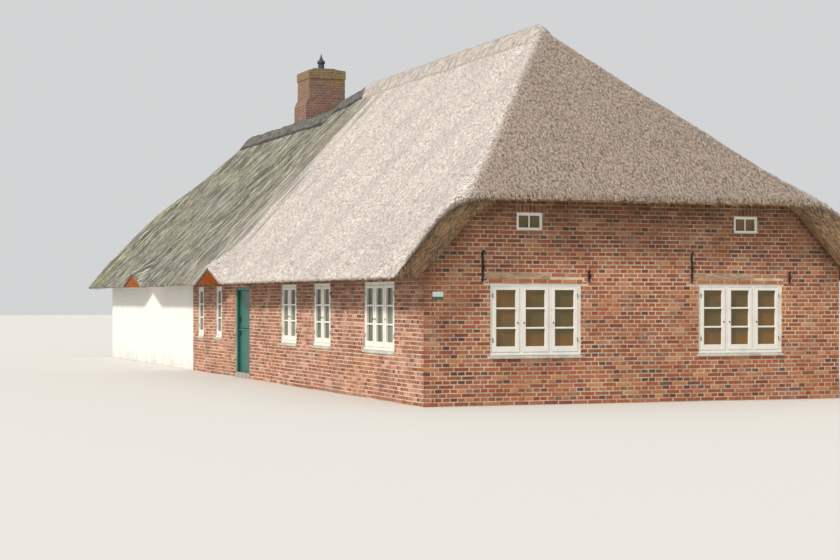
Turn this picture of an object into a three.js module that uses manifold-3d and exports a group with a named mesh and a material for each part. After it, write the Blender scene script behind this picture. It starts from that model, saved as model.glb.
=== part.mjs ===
// A long thatched brick cottage: a brick dwelling at the front, a whitewashed barn end behind it,
// one thatched roof with a half-hip at each end, a chimney, and a green stable door in the long side.
// Millimetres, +Z up. The ridge runs along Y, the main gable faces -Y, the ground is at z = 0,
// and the origin is on the ground in the middle of the plan.
import * as THREE from "three";
import { ConvexGeometry } from "three/addons/geometries/ConvexGeometry.js";
import { mergeVertices } from "three/addons/utils/BufferGeometryUtils.js";
import Module from "manifold-3d";

const wasm = await Module();
wasm.setup();

// Plan and walls
const HALF_WIDTH = 3720;
const HALF_LENGTH = 13000;
const WALL = 300;
const WALL_TOP_LIMIT = 7000;
const FLOOR_TOP = 100;
const SEAT = 0.3; // gap between pieces that touch
const BARN_START = 15670; // distance from the main gable to the whitewashed part

// Roof
const EAVE_OVERHANG = 620;
const VERGE_OVERHANG = 420;
const LIP_BOTTOM = 1990;
const LIP_THICKNESS = 30;
const RIDGE_HOUSE = 6600;
const RIDGE_BARN = 6270;
const THATCH_DEPTH = 360; // measured upright
const STEP_START = 14000; // the ridge falls from the dwelling's height to the barn's over this stretch
const STEP_END = 16000;
const HOUSE_THATCH_END = 14200;
const FRONT_HIP = { lip: 3240, apex: 3940 };
const REAR_HIP = { lip: 4180, apex: 24500 };
const ARRIS_INSET = 3; // a hip's own thatch stops this far inside its arrises
const SKY = 9000;

// Ridge capping
const CAP_LEG = 450; // along the slope
const CAP_DEPTH = 110;

// Eyebrows: stretches of the western eave raised to a low point, boarded underneath
const EYEBROW = { halfWidth: 1145, rise: 350, cover: 60, reach: 900 };
const EYEBROW_CENTRES = [11700, 20050];
const BOARDS = { thickness: 22, setBack: 60, foot: 8 };

// Windows: one to three lights of three panes
const PANE = { width: 335, height: 268, rows: 3 };
const BORDER = 105;
const MULLION = 168;
const BAR = 41;
const TOP_RAIL = 100;
const BOTTOM_RAIL = 142;
const FRAME_DEPTH = 70;
const BAR_DEPTH = 36;
const REVEAL = 15;
const GLASS = { thickness: 6, overlap: 14 };
const SIDE_SILL = 820;
const GABLE_SILL = 780;
const SIDE_WINDOWS = [
  { name: "a", at: 2127, lights: 3 },
  { name: "b", at: 5330, lights: 2 },
  { name: "c", at: 7510, lights: 2 },
  { name: "d", at: 13150, lights: 1 },
  { name: "e", at: 14880, lights: 1 },
];
const GABLE_WINDOW_X = 1836;
const ATTIC = { x: 1940, sill: 2745, width: 450, height: 280, border: 45 };

// Stable door
const DOOR_NEAR = 10480;
const DOOR_FAR = 11660;
const DOOR_HEAD = 1925;
const JAMB = 70;
const THRESHOLD_TOP = 110;
const DOOR_FRAME = { outer: 30, depth: 90 };
const LEAF = { clearance: 6, thickness: 45, split: 1048 };
const KNUCKLE = { radius: 11, length: 60, reach: 14, inset: 160, gap: 0.4, strap: 180, bite: 1, arm: 40 };

// Chimney, standing just east of the ridge, with a wider foot on the ridge's side
const STACK = { x0: 150, x1: 1120, near: 19100, far: 20160, top: 7450 };
const STACK_FOOT = { west: 90, top: 6770, shoulder: 170 };
const CROWN = [
  { projection: 30, height: 110 },
  { projection: 55, height: 150 },
];
const COWL = { body: 88, bodyHeight: 190, ring: 105, ringHeight: 70, neck: 26, coneHeight: 80, tip: 120 };

const paint = (color, roughness, metalness = 0, extra = {}) =>
  new THREE.MeshStandardMaterial({ color, roughness, metalness, ...extra });

const MATERIAL = {
  brick: paint("#b0583c", 0.92),
  limewash: paint("#e8e9e6", 0.88),
  reed: paint("#b9a893", 0.97),
  mossyReed: paint("#8d8674", 0.98),
  ridge: paint("#c3b5a4", 0.97),
  mossyRidge: paint("#6d6a5c", 0.98),
  whitePaint: paint("#f0f1ef", 0.45),
  greenPaint: paint("#1f6b58", 0.5),
  oiledBoard: paint("#a6571f", 0.6),
  glass: paint("#5b5a44", 0.05, 0, { transparent: true, opacity: 0.4 }),
  stone: paint("#9c978c", 0.9),
  floorTile: paint("#8e5a45", 0.85),
  zinc: paint("#5a6472", 0.5, 0.7),
};

const root = new THREE.Group();
root.name = "thatched_cottage";

// Distance behind the main gable's outer face, as a y coordinate.
const along = (distance) => distance - HALF_LENGTH;

function addMesh(name, geometry, material, parent = root) {
  const mesh = new THREE.Mesh(geometry, material);
  mesh.name = name;
  parent.add(mesh);
  return mesh;
}

function shapeOf(points) {
  return new THREE.Shape(points.map(([a, b]) => new THREE.Vector2(a, b)));
}

// An outline in X and Z, extruded from y0 to y1.
function prismAlongY(points, y0, y1) {
  const geometry = new THREE.ExtrudeGeometry(shapeOf(points), { depth: y1 - y0, bevelEnabled: false });
  geometry.applyMatrix4(
    new THREE.Matrix4()
      .makeBasis(new THREE.Vector3(1, 0, 0), new THREE.Vector3(0, 0, 1), new THREE.Vector3(0, -1, 0))
      .setPosition(0, y1, 0),
  );
  return geometry;
}

// An outline in Y and Z, extruded from x0 to x1.
function prismAlongX(points, x0, x1) {
  const geometry = new THREE.ExtrudeGeometry(shapeOf(points), { depth: x1 - x0, bevelEnabled: false });
  geometry.applyMatrix4(
    new THREE.Matrix4()
      .makeBasis(new THREE.Vector3(0, 1, 0), new THREE.Vector3(0, 0, 1), new THREE.Vector3(1, 0, 0))
      .setPosition(x0, 0, 0),
  );
  return geometry;
}

// An outline in X and Y, extruded from z0 to z1.
function prismAlongZ(points, z0, z1) {
  const geometry = new THREE.ExtrudeGeometry(shapeOf(points), { depth: z1 - z0, bevelEnabled: false });
  return geometry.translate(0, 0, z0);
}

function block(x0, x1, y0, y1, z0, z1) {
  return new THREE.BoxGeometry(x1 - x0, y1 - y0, z1 - z0).translate(
    (x0 + x1) / 2,
    (y0 + y1) / 2,
    (z0 + z1) / 2,
  );
}

// A closed geometry as a solid that can be cut and joined.
function solid(geometry) {
  const bare = geometry.index ? geometry.toNonIndexed() : geometry.clone();
  bare.deleteAttribute("normal");
  bare.deleteAttribute("uv");
  const merged = mergeVertices(bare, 1e-3);
  return new wasm.Manifold(
    new wasm.Mesh({
      numProp: 3,
      vertProperties: new Float32Array(merged.attributes.position.array),
      triVerts: new Uint32Array(merged.index.array),
    }),
  );
}

function geometryOf(made) {
  const mesh = made.getMesh();
  const geometry = new THREE.BufferGeometry();
  geometry.setAttribute("position", new THREE.BufferAttribute(mesh.vertProperties, mesh.numProp));
  geometry.setIndex(new THREE.BufferAttribute(mesh.triVerts, 1));
  geometry.computeVertexNormals();
  return geometry;
}

const EAVE_X = HALF_WIDTH + EAVE_OVERHANG;
const LIP_TOP = LIP_BOTTOM + LIP_THICKNESS;
const ROOF_NEAR = -HALF_LENGTH - VERGE_OVERHANG;
const ROOF_FAR = HALF_LENGTH + VERGE_OVERHANG;
const BEYOND = 1000;

// The ridge's height at a y coordinate: high over the dwelling, then falling to the barn's.
function ridgeHeight(y) {
  const share = THREE.MathUtils.clamp((y - along(STEP_START)) / (STEP_END - STEP_START), 0, 1);
  return THREE.MathUtils.lerp(RIDGE_HOUSE, RIDGE_BARN, share);
}

// The two long slopes as one body from the ground up, lowered by drop. It has a station at each
// bend of the ridge.
function roofBody(drop, near, far) {
  const stations = [near, along(STEP_START), along(STEP_END), far];
  const section = [
    [-EAVE_X, -drop],
    [EAVE_X, -drop],
    [EAVE_X, LIP_TOP],
    [0, RIDGE_HOUSE],
    [-EAVE_X, LIP_TOP],
  ];
  const steps = stations.length - 1;
  const extrusion = { depth: steps, steps, bevelEnabled: false };
  const geometry = new THREE.ExtrudeGeometry(shapeOf(section), extrusion);
  const position = geometry.attributes.position;
  for (let i = 0; i < position.count; i++) {
    const x = position.getX(i);
    const z = position.getY(i);
    const y = stations[steps - Math.round(position.getZ(i))];
    const scale = (ridgeHeight(y) - LIP_TOP) / (RIDGE_HOUSE - LIP_TOP);
    const height = z > LIP_TOP ? LIP_TOP + (z - LIP_TOP) * scale : z;
    position.setXYZ(i, x, y, height - drop);
  }
  return solid(geometry);
}

// The hips' outer outline in Y and Z.
const frontHipPitch = (RIDGE_HOUSE - FRONT_HIP.lip) / (FRONT_HIP.apex + VERGE_OVERHANG);
const rearHipRun = ROOF_FAR - along(REAR_HIP.apex);
const rearHipPitch = (RIDGE_BARN - REAR_HIP.lip) / rearHipRun;

function hipOuter() {
  const outline = [
    [ROOF_NEAR, 0],
    [ROOF_FAR, 0],
    [ROOF_FAR, REAR_HIP.lip],
    [ROOF_FAR - (SKY - REAR_HIP.lip) / rearHipPitch, SKY],
    [ROOF_NEAR + (SKY - FRONT_HIP.lip) / frontHipPitch, SKY],
    [ROOF_NEAR, FRONT_HIP.lip],
  ];
  return solid(prismAlongX(outline, -EAVE_X - BEYOND, EAVE_X + BEYOND));
}

// The space under the hips: level soffits behind the two lips, then the slopes' undersides.
function hipInner(drop) {
  const frontSoffit = FRONT_HIP.lip - LIP_THICKNESS - (drop - THATCH_DEPTH);
  const rearSoffit = REAR_HIP.lip - LIP_THICKNESS - (drop - THATCH_DEPTH);
  const outline = [
    [ROOF_NEAR - BEYOND, -BEYOND],
    [ROOF_FAR + BEYOND, -BEYOND],
    [ROOF_FAR + BEYOND, rearSoffit],
    [ROOF_FAR - (rearSoffit - REAR_HIP.lip + drop) / rearHipPitch, rearSoffit],
    [ROOF_FAR - (SKY - REAR_HIP.lip + drop) / rearHipPitch, SKY],
    [ROOF_NEAR + (SKY - FRONT_HIP.lip + drop) / frontHipPitch, SKY],
    [ROOF_NEAR + (frontSoffit - FRONT_HIP.lip + drop) / frontHipPitch, frontSoffit],
    [ROOF_NEAR - BEYOND, frontSoffit],
  ];
  return solid(prismAlongX(outline, -EAVE_X - BEYOND, EAVE_X + BEYOND));
}

// All the space under the thatch, which is what the walls may fill.
function underThatch(drop) {
  const slopes = roofBody(drop, ROOF_NEAR - BEYOND, ROOF_FAR + BEYOND);
  return slopes.intersect(hipInner(drop));
}

// Plan region of a hip, grown by the seat so that its neighbours stay clear of it.
function hipRegion(end, apexY, ridge, lip, grow) {
  const cornerX = (EAVE_X * (ridge - lip)) / (ridge - LIP_TOP);
  const edge = end + Math.sign(end) * BEYOND;
  const reach = (cornerX * Math.abs(edge - apexY)) / Math.abs(end - apexY);
  const tip = apexY - Math.sign(end) * grow * 2;
  const points = [
    [-reach - grow, edge],
    [0, tip],
    [reach + grow, edge],
  ];
  return solid(prismAlongZ(end < 0 ? points.reverse() : points, -BEYOND, SKY));
}

const stackCut = solid(
  block(
    STACK.x0 - STACK_FOOT.west - SEAT,
    STACK.x1 + SEAT,
    along(STACK.near) - SEAT,
    along(STACK.far) + SEAT,
    0,
    SKY,
  ),
);

// The outer form of an eyebrow: a low point in the plane of the lip, dying into the slope behind it.
function eyebrowOuter(distance) {
  const y = along(distance);
  const half = EYEBROW.halfWidth + EYEBROW.cover;
  const back = -EAVE_X + EYEBROW.reach;
  const onSlope = LIP_TOP + ((ridgeHeight(y) - LIP_TOP) * EYEBROW.reach) / EAVE_X;
  const points = [
    [-EAVE_X, y - half, LIP_BOTTOM],
    [-EAVE_X, y + half, LIP_BOTTOM],
    [-EAVE_X, y, LIP_BOTTOM + EYEBROW.rise + EYEBROW.cover],
    [back, y, onSlope],
    [back, y - half, LIP_BOTTOM + THATCH_DEPTH],
    [back, y + half, LIP_BOTTOM + THATCH_DEPTH],
  ];
  return solid(new ConvexGeometry(points.map(([a, b, c]) => new THREE.Vector3(a, b, c))));
}

const eyebrowPitch = EYEBROW.rise / EYEBROW.halfWidth;

// The hollow under an eyebrow, from outside the lip to the wall's face.
function eyebrowHollow(distance) {
  const low = LIP_BOTTOM - LIP_THICKNESS;
  const half = EYEBROW.halfWidth + LIP_THICKNESS / eyebrowPitch;
  const y = along(distance);
  const outline = [
    [y - half, low],
    [y + half, low],
    [y, LIP_BOTTOM + EYEBROW.rise],
  ];
  return solid(prismAlongX(outline, -EAVE_X - BEYOND, -HALF_WIDTH));
}

function addThatch() {
  const outer = roofBody(0, ROOF_NEAR, ROOF_FAR).intersect(hipOuter());
  const width = EAVE_X + BEYOND;
  const below = block(-width, width, ROOF_NEAR - BEYOND, ROOF_FAR + BEYOND, -BEYOND, LIP_BOTTOM);
  const belowSoffit = solid(below);
  let coat = outer.subtract(underThatch(THATCH_DEPTH)).subtract(belowSoffit).subtract(stackCut);
  for (const distance of EYEBROW_CENTRES) {
    const bump = eyebrowOuter(distance).subtract(underThatch(THATCH_DEPTH));
    coat = coat.add(bump).subtract(eyebrowHollow(distance));
  }

  const frontApex = along(FRONT_HIP.apex);
  const rearApex = along(REAR_HIP.apex);
  const frontRegion = (grow) => hipRegion(ROOF_NEAR, frontApex, RIDGE_HOUSE, FRONT_HIP.lip, grow);
  const rearRegion = (grow) => hipRegion(ROOF_FAR, rearApex, RIDGE_BARN, REAR_HIP.lip, grow);
  const hipGrow = -ARRIS_INSET;
  const slopes = coat.subtract(frontRegion(hipGrow + SEAT)).subtract(rearRegion(hipGrow + SEAT));
  const joint = along(HOUSE_THATCH_END);
  const half = SEAT / 2;
  const parts = [
    ["thatch_house_west", -EAVE_X - BEYOND, -half, ROOF_NEAR - BEYOND, joint - half, MATERIAL.reed],
    ["thatch_house_east", half, EAVE_X + BEYOND, ROOF_NEAR - BEYOND, joint - half, MATERIAL.reed],
    ["thatch_barn_west", -EAVE_X - BEYOND, -half, joint + half, ROOF_FAR + BEYOND, MATERIAL.mossyReed],
    ["thatch_barn_east", half, EAVE_X + BEYOND, joint + half, ROOF_FAR + BEYOND, MATERIAL.mossyReed],
  ];
  for (const [name, x0, x1, y0, y1, material] of parts) {
    addMesh(name, geometryOf(slopes.intersect(solid(block(x0, x1, y0, y1, 0, SKY)))), material);
  }
  addMesh("thatch_front_hip", geometryOf(coat.intersect(frontRegion(hipGrow))), MATERIAL.reed);
  addMesh("thatch_rear_hip", geometryOf(coat.intersect(rearRegion(hipGrow))), MATERIAL.mossyReed);
}

// The capping is the shell between the roof's surface and the same surface raised, near the ridge.
function addRidgeCaps() {
  const pitch = Math.atan2(RIDGE_HOUSE - LIP_TOP, EAVE_X);
  const halfWidth = CAP_LEG * Math.cos(pitch);
  const roof = roofBody(-SEAT, ROOF_NEAR - BEYOND, ROOF_FAR + BEYOND);
  const shell = roofBody(-CAP_DEPTH, ROOF_NEAR, ROOF_FAR).subtract(roof).subtract(stackCut);
  const runs = [
    ["ridge_cap_house", FRONT_HIP.apex, HOUSE_THATCH_END - SEAT, MATERIAL.ridge],
    ["ridge_cap_barn", HOUSE_THATCH_END, REAR_HIP.apex, MATERIAL.mossyRidge],
  ];
  for (const [name, near, far, material] of runs) {
    const stretch = solid(block(-halfWidth, halfWidth, along(near), along(far), 0, SKY));
    addMesh(name, geometryOf(shell.intersect(stretch)), material);
  }
}

const windowWidth = (lights) => 2 * BORDER + lights * PANE.width + (lights - 1) * MULLION;
const WINDOW_HEIGHT = TOP_RAIL + BOTTOM_RAIL + PANE.rows * PANE.height + (PANE.rows - 1) * BAR;

// Openings in a wall, each as {x, y, width, sill, height, turn}; turn is the way out of the wall.
const FACING = { front: 0, east: Math.PI / 2, rear: Math.PI, west: -Math.PI / 2 };
const windows = [];

function planWindows() {
  for (const side of ["west", "east"]) {
    const x = side === "west" ? -HALF_WIDTH : HALF_WIDTH;
    const kept = side === "west" ? SIDE_WINDOWS : SIDE_WINDOWS.filter((w) => w.lights > 1);
    for (const w of kept) {
      windows.push({
        name: `${side}_window_${w.name}`,
        side,
        x,
        y: along(w.at),
        lights: w.lights,
        width: windowWidth(w.lights),
        sill: SIDE_SILL,
        height: WINDOW_HEIGHT,
      });
    }
  }
  for (const [hand, sign] of [["left", -1], ["right", 1]]) {
    windows.push({
      name: `front_window_${hand}`,
      side: "front",
      x: sign * GABLE_WINDOW_X,
      y: -HALF_LENGTH,
      lights: 3,
      width: windowWidth(3),
      sill: GABLE_SILL,
      height: WINDOW_HEIGHT,
    });
    windows.push({
      name: `attic_window_${hand}`,
      side: "front",
      x: sign * ATTIC.x,
      y: -HALF_LENGTH,
      lights: 0,
      width: ATTIC.width,
      sill: ATTIC.sill,
      height: ATTIC.height,
    });
    windows.push({
      name: `rear_window_${hand}`,
      side: "rear",
      x: -sign * GABLE_WINDOW_X,
      y: HALF_LENGTH,
      lights: 2,
      width: windowWidth(2),
      sill: GABLE_SILL,
      height: WINDOW_HEIGHT,
    });
  }
}

// In a window's own frame x runs along the wall, z up from the sill, and y inwards from the wall's face.
function openingCutter(w) {
  const width = w.width + 2 * SEAT;
  const cutter = new THREE.BoxGeometry(width, 3 * WALL, w.height + 2 * SEAT);
  cutter.applyMatrix4(new THREE.Matrix4().makeRotationZ(FACING[w.side]));
  return solid(cutter.translate(w.x, w.y, w.sill + w.height / 2));
}

function paneCentres(lights) {
  const first = -((lights - 1) * (PANE.width + MULLION)) / 2;
  return Array.from({ length: lights }, (_, i) => first + i * (PANE.width + MULLION));
}

// A painted casement frame: bars in front, and a rebate behind them for the glass.
function frameGeometry(w) {
  let made = solid(block(-w.width / 2, w.width / 2, 0, FRAME_DEPTH, 0, w.height));
  const attic = w.lights === 0;
  const border = attic ? ATTIC.border : BORDER;
  const bottom = attic ? ATTIC.border : BOTTOM_RAIL;
  const top = attic ? ATTIC.border : TOP_RAIL;
  const innerHalf = w.width / 2 - border;
  const lip = GLASS.overlap;
  const edge = innerHalf + lip;
  const rebate = block(-edge, edge, BAR_DEPTH, 2 * FRAME_DEPTH, bottom - lip, w.height - top + lip);
  made = made.subtract(solid(rebate));
  const pane = (x0, x1, z0, z1) => solid(block(x0, x1, -FRAME_DEPTH, FRAME_DEPTH, z0, z1));
  if (attic) return geometryOf(made.subtract(pane(-innerHalf, innerHalf, bottom, w.height - top)));
  for (const centre of paneCentres(w.lights)) {
    for (let row = 0; row < PANE.rows; row++) {
      const z = bottom + row * (PANE.height + BAR);
      made = made.subtract(pane(centre - PANE.width / 2, centre + PANE.width / 2, z, z + PANE.height));
    }
  }
  return geometryOf(made);
}

function glassGeometry(w) {
  const attic = w.lights === 0;
  const border = attic ? ATTIC.border : BORDER;
  const bottom = attic ? ATTIC.border : BOTTOM_RAIL;
  const top = attic ? ATTIC.border : TOP_RAIL;
  const half = w.width / 2 - border + GLASS.overlap - SEAT;
  const low = bottom - GLASS.overlap + SEAT;
  const high = w.height - top + GLASS.overlap - SEAT;
  return block(-half, half, BAR_DEPTH + SEAT, BAR_DEPTH + SEAT + GLASS.thickness, low, high);
}

function addWindows() {
  for (const w of windows) {
    const place = new THREE.Group();
    place.position.set(w.x, w.y, w.sill);
    place.rotation.z = FACING[w.side];
    root.add(place);
    const frame = addMesh(w.name, frameGeometry(w), MATERIAL.whitePaint, place);
    frame.position.y = REVEAL;
    const glass = addMesh(`${w.name}_glass`, glassGeometry(w), MATERIAL.glass, place);
    glass.position.y = REVEAL;
  }
}

// Walls are blocks that stop just under the thatch, with their window openings cut through.
function addWalls() {
  const room = underThatch(THATCH_DEPTH + SEAT);
  const inner = HALF_LENGTH - WALL - SEAT;
  const near = -inner;
  const far = inner;
  const gable = (y0, y1) => block(-HALF_WIDTH, HALF_WIDTH, y0, y1, 0, WALL_TOP_LIMIT);
  const walls = [
    ["front_gable_wall", "front", gable(-HALF_LENGTH, -HALF_LENGTH + WALL), MATERIAL.brick],
    ["rear_gable_wall", "rear", gable(HALF_LENGTH - WALL, HALF_LENGTH), MATERIAL.limewash],
  ];
  const sideRuns = [
    ["west_wall_front", "west", near, along(DOOR_NEAR) - SEAT, 0, MATERIAL.brick],
    ["west_wall_over_door", "west", along(DOOR_NEAR), along(DOOR_FAR), DOOR_HEAD + SEAT, MATERIAL.brick],
    ["west_wall_middle", "west", along(DOOR_FAR) + SEAT, along(BARN_START) - SEAT, 0, MATERIAL.brick],
    ["west_wall_barn", "west", along(BARN_START), far, 0, MATERIAL.limewash],
    ["east_wall_house", "east", near, along(BARN_START) - SEAT, 0, MATERIAL.brick],
    ["east_wall_barn", "east", along(BARN_START), far, 0, MATERIAL.limewash],
  ];
  for (const [name, side, y0, y1, z0, material] of sideRuns) {
    const x0 = side === "west" ? -HALF_WIDTH : HALF_WIDTH - WALL;
    walls.push([name, side, block(x0, x0 + WALL, y0, y1, z0, WALL_TOP_LIMIT), material]);
  }
  for (const [name, side, geometry, material] of walls) {
    let made = solid(geometry).intersect(room);
    for (const w of windows.filter((each) => each.side === side)) made = made.subtract(openingCutter(w));
    addMesh(name, geometryOf(made), material);
  }
}

function addFloor() {
  const x = HALF_WIDTH - WALL - SEAT;
  const y = HALF_LENGTH - WALL - SEAT;
  addMesh("floor", block(-x, x, -y, y, 0, FLOOR_TOP), MATERIAL.floorTile);
}

// Boards lining the hollow of each eyebrow, meeting in an upside-down V.
function addEyebrowBoards() {
  const top = LIP_BOTTOM + EYEBROW.rise - SEAT;
  const low = LIP_BOTTOM + BOARDS.foot;
  const outer = (top - low) / eyebrowPitch;
  const inner = outer - BOARDS.thickness / eyebrowPitch;
  const outline = [
    [-outer, low],
    [-inner, low],
    [0, top - BOARDS.thickness],
    [inner, low],
    [outer, low],
    [0, top],
  ];
  EYEBROW_CENTRES.forEach((distance, i) => {
    const depth = EAVE_OVERHANG - BOARDS.setBack - SEAT;
    const boards = addMesh(`eyebrow_boards_${i + 1}`, prismAlongX(outline, 0, depth), MATERIAL.oiledBoard);
    boards.position.set(-EAVE_X + BOARDS.setBack, along(distance), 0);
  });
}

// The chimney runs down to the floor. Its foot is wider on the ridge's side, up to a sloping shoulder.
function addChimney() {
  const halfX = (STACK.x1 - STACK.x0) / 2;
  const halfY = (STACK.far - STACK.near) / 2;
  const chimney = new THREE.Group();
  chimney.position.set((STACK.x0 + STACK.x1) / 2, along((STACK.near + STACK.far) / 2), 0);
  root.add(chimney);

  const low = FLOOR_TOP + SEAT;
  const west = -halfX - STACK_FOOT.west;
  const outline = [
    [west, low],
    [halfX, low],
    [halfX, STACK.top],
    [-halfX, STACK.top],
    [-halfX, STACK_FOOT.top + STACK_FOOT.shoulder],
    [west, STACK_FOOT.top],
  ];
  addMesh("chimney_stack", prismAlongY(outline, -halfY, halfY), MATERIAL.brick, chimney);

  let height = 0;
  let crown;
  for (const { projection, height: rise } of CROWN) {
    const x = halfX + projection;
    const y = halfY + projection;
    const course = solid(block(-x, x, -y, y, height, height + rise));
    crown = crown ? crown.add(course) : course;
    height += rise;
  }
  const crownMesh = addMesh("chimney_crown", geometryOf(crown), MATERIAL.brick, chimney);
  crownMesh.position.z = STACK.top + SEAT;

  const bodyTop = COWL.bodyHeight;
  const ringTop = bodyTop + COWL.ringHeight;
  const coneTop = ringTop + COWL.coneHeight;
  const profile = [
    [0, 0],
    [COWL.body, 0],
    [COWL.body, bodyTop],
    [COWL.ring, bodyTop],
    [COWL.ring, ringTop],
    [COWL.neck, coneTop],
    [0, coneTop + COWL.tip],
  ].map(([r, z]) => new THREE.Vector2(r, z));
  const cowl = addMesh("chimney_cowl", new THREE.LatheGeometry(profile, 24), MATERIAL.zinc, chimney);
  cowl.rotation.x = Math.PI / 2;
  cowl.position.z = STACK.top + height + 2 * SEAT;
}

// The door's own frame: x runs inwards from the wall's outer face, y away from the main gable, z up.
const DOOR_WIDTH = DOOR_FAR - DOOR_NEAR;
const LEAF_X = DOOR_FRAME.outer + DOOR_FRAME.depth - LEAF.thickness;
const PIVOT_X = DOOR_FRAME.outer + DOOR_FRAME.depth + KNUCKLE.reach;
const PIVOT_Y = JAMB + LEAF.clearance;

function knuckle(z0, z1) {
  const round = new THREE.CylinderGeometry(KNUCKLE.radius, KNUCKLE.radius, z1 - z0, 20);
  round.rotateX(Math.PI / 2).translate(PIVOT_X, PIVOT_Y, (z0 + z1) / 2);
  return solid(round);
}

// Each leaf hangs on two lift-off hinges: its own knuckle sits on a knuckle of the near jamb.
function addDoor() {
  const door = new THREE.Group();
  door.position.set(-HALF_WIDTH, along(DOOR_NEAR), 0);
  root.add(door);

  const frameInner = DOOR_FRAME.outer + DOOR_FRAME.depth;
  const headLow = DOOR_HEAD - JAMB;
  const jambLow = THRESHOLD_TOP + SEAT;
  const jamb = (y0, y1) => block(DOOR_FRAME.outer, frameInner, y0, y1, jambLow, headLow - SEAT);
  let nearJamb = solid(jamb(SEAT, JAMB));
  const leaves = [
    ["door_lower_leaf", THRESHOLD_TOP + LEAF.clearance, LEAF.split - LEAF.clearance / 2],
    ["door_upper_leaf", LEAF.split + LEAF.clearance / 2, headLow - LEAF.clearance],
  ];
  const leafFar = DOOR_WIDTH - JAMB - LEAF.clearance;
  for (const [name, z0, z1] of leaves) {
    const leafInner = LEAF_X + LEAF.thickness;
    let leaf = solid(block(LEAF_X, leafInner, PIVOT_Y, leafFar, z0, z1));
    for (const foot of [z0 + KNUCKLE.inset, z1 - KNUCKLE.inset - KNUCKLE.length]) {
      const middle = foot + KNUCKLE.length / 2;
      const low = middle + KNUCKLE.gap;
      const high = foot + KNUCKLE.length;
      const strap = block(leafInner - KNUCKLE.bite, PIVOT_X, PIVOT_Y, PIVOT_Y + KNUCKLE.strap, low, high);
      const arm = block(frameInner - KNUCKLE.bite, PIVOT_X, PIVOT_Y - KNUCKLE.arm, PIVOT_Y, foot, middle);
      leaf = leaf.add(knuckle(low, high)).add(solid(strap));
      nearJamb = nearJamb.add(knuckle(foot, middle)).add(solid(arm));
    }
    addMesh(name, geometryOf(leaf), MATERIAL.greenPaint, door);
  }
  addMesh("door_jamb_near", geometryOf(nearJamb), MATERIAL.whitePaint, door);
  addMesh("door_jamb_far", jamb(DOOR_WIDTH - JAMB, DOOR_WIDTH - SEAT), MATERIAL.whitePaint, door);
  const head = block(DOOR_FRAME.outer, frameInner, SEAT, DOOR_WIDTH - SEAT, headLow, DOOR_HEAD);
  addMesh("door_head", head, MATERIAL.whitePaint, door);
  const threshold = block(0, WALL, SEAT, DOOR_WIDTH - SEAT, 0, THRESHOLD_TOP);
  addMesh("door_threshold", threshold, MATERIAL.stone, door);
}

planWindows();
addFloor();
addWalls();
addWindows();
addDoor();
addChimney();
addThatch();
addRidgeCaps();
addEyebrowBoards();

export default root;
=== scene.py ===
"""A thatched brick cottage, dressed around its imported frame: reed thatch, brickwork, windows, stable door
and chimney. Metres, +Z up, the ridge along Y, the main gable facing -Y."""

import math
import random

import bmesh
import bpy
import numpy as np
from bpy.props import FloatProperty, FloatVectorProperty, IntProperty, PointerProperty
from mathutils import Matrix, Vector, noise


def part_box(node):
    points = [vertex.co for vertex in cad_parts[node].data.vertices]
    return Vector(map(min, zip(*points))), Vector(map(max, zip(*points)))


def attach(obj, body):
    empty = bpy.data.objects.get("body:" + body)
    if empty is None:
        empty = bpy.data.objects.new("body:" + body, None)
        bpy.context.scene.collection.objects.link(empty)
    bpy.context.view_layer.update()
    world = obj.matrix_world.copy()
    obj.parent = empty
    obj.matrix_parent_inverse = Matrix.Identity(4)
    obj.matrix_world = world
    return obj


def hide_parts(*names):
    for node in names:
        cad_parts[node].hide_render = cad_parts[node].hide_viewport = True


bl_info = {
    "name": "Thatched cottage",
    "version": (1, 0, 0),
    "blender": (4, 5, 0),
    "location": "3D View > Sidebar > Cottage",
    "description": "Dresses a packed cottage with thatch, brickwork, joinery and a chimney",
    "category": "Object",
}

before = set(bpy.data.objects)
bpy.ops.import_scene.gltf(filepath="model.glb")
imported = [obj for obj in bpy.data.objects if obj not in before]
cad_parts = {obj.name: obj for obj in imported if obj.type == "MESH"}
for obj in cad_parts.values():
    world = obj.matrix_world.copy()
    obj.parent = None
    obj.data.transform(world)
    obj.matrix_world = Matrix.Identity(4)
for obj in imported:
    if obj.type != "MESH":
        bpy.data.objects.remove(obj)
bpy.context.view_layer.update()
HOUSE = "house"

# Faces of the building, from the frame
GABLE_LOW, GABLE_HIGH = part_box("front_gable_wall")
WALL_X = GABLE_HIGH.x
WALL_Y = -GABLE_LOW.y
BARN_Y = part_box("west_wall_barn")[0].y
EAVE_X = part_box("thatch_house_east")[1].x
ROOF_Y = -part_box("thatch_front_hip")[0].y
SOFFIT_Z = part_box("thatch_house_west")[0].z
LIP = 0.03
LIP_Z = SOFFIT_Z + LIP
THATCH_DEPTH = 0.36
RIDGE_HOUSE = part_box("thatch_house_west")[1].z
RIDGE_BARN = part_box("thatch_rear_hip")[1].z
FRONT_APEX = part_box("ridge_cap_house")[0].y
REAR_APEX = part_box("ridge_cap_barn")[1].y
FRONT_LIP = 3.24
REAR_LIP = 4.18
THATCH_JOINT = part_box("thatch_house_west")[1].y
STACK_LOW, STACK_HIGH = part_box("chimney_stack")
STACK_NECK_X = 0.15
STACK_SHOULDER = (6.77, 6.94)
EYEBROWS = [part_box("eyebrow_boards_1"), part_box("eyebrow_boards_2")]

# The ridge's drop to the barn roof, as places along Y and shares of the drop, and the end of its new
# capping: the place along Y on top, and how much nearer the gable it lies for each metre down the side
RIDGE_STEPS = ((0.6, 0.0), (1.8, 0.33), (2.55, 0.4), (3.4, 1.0))
RIDGE_JOINT = (0.84, 0.92)
RIDGE_JOINT_LEAN = 1.8

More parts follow.
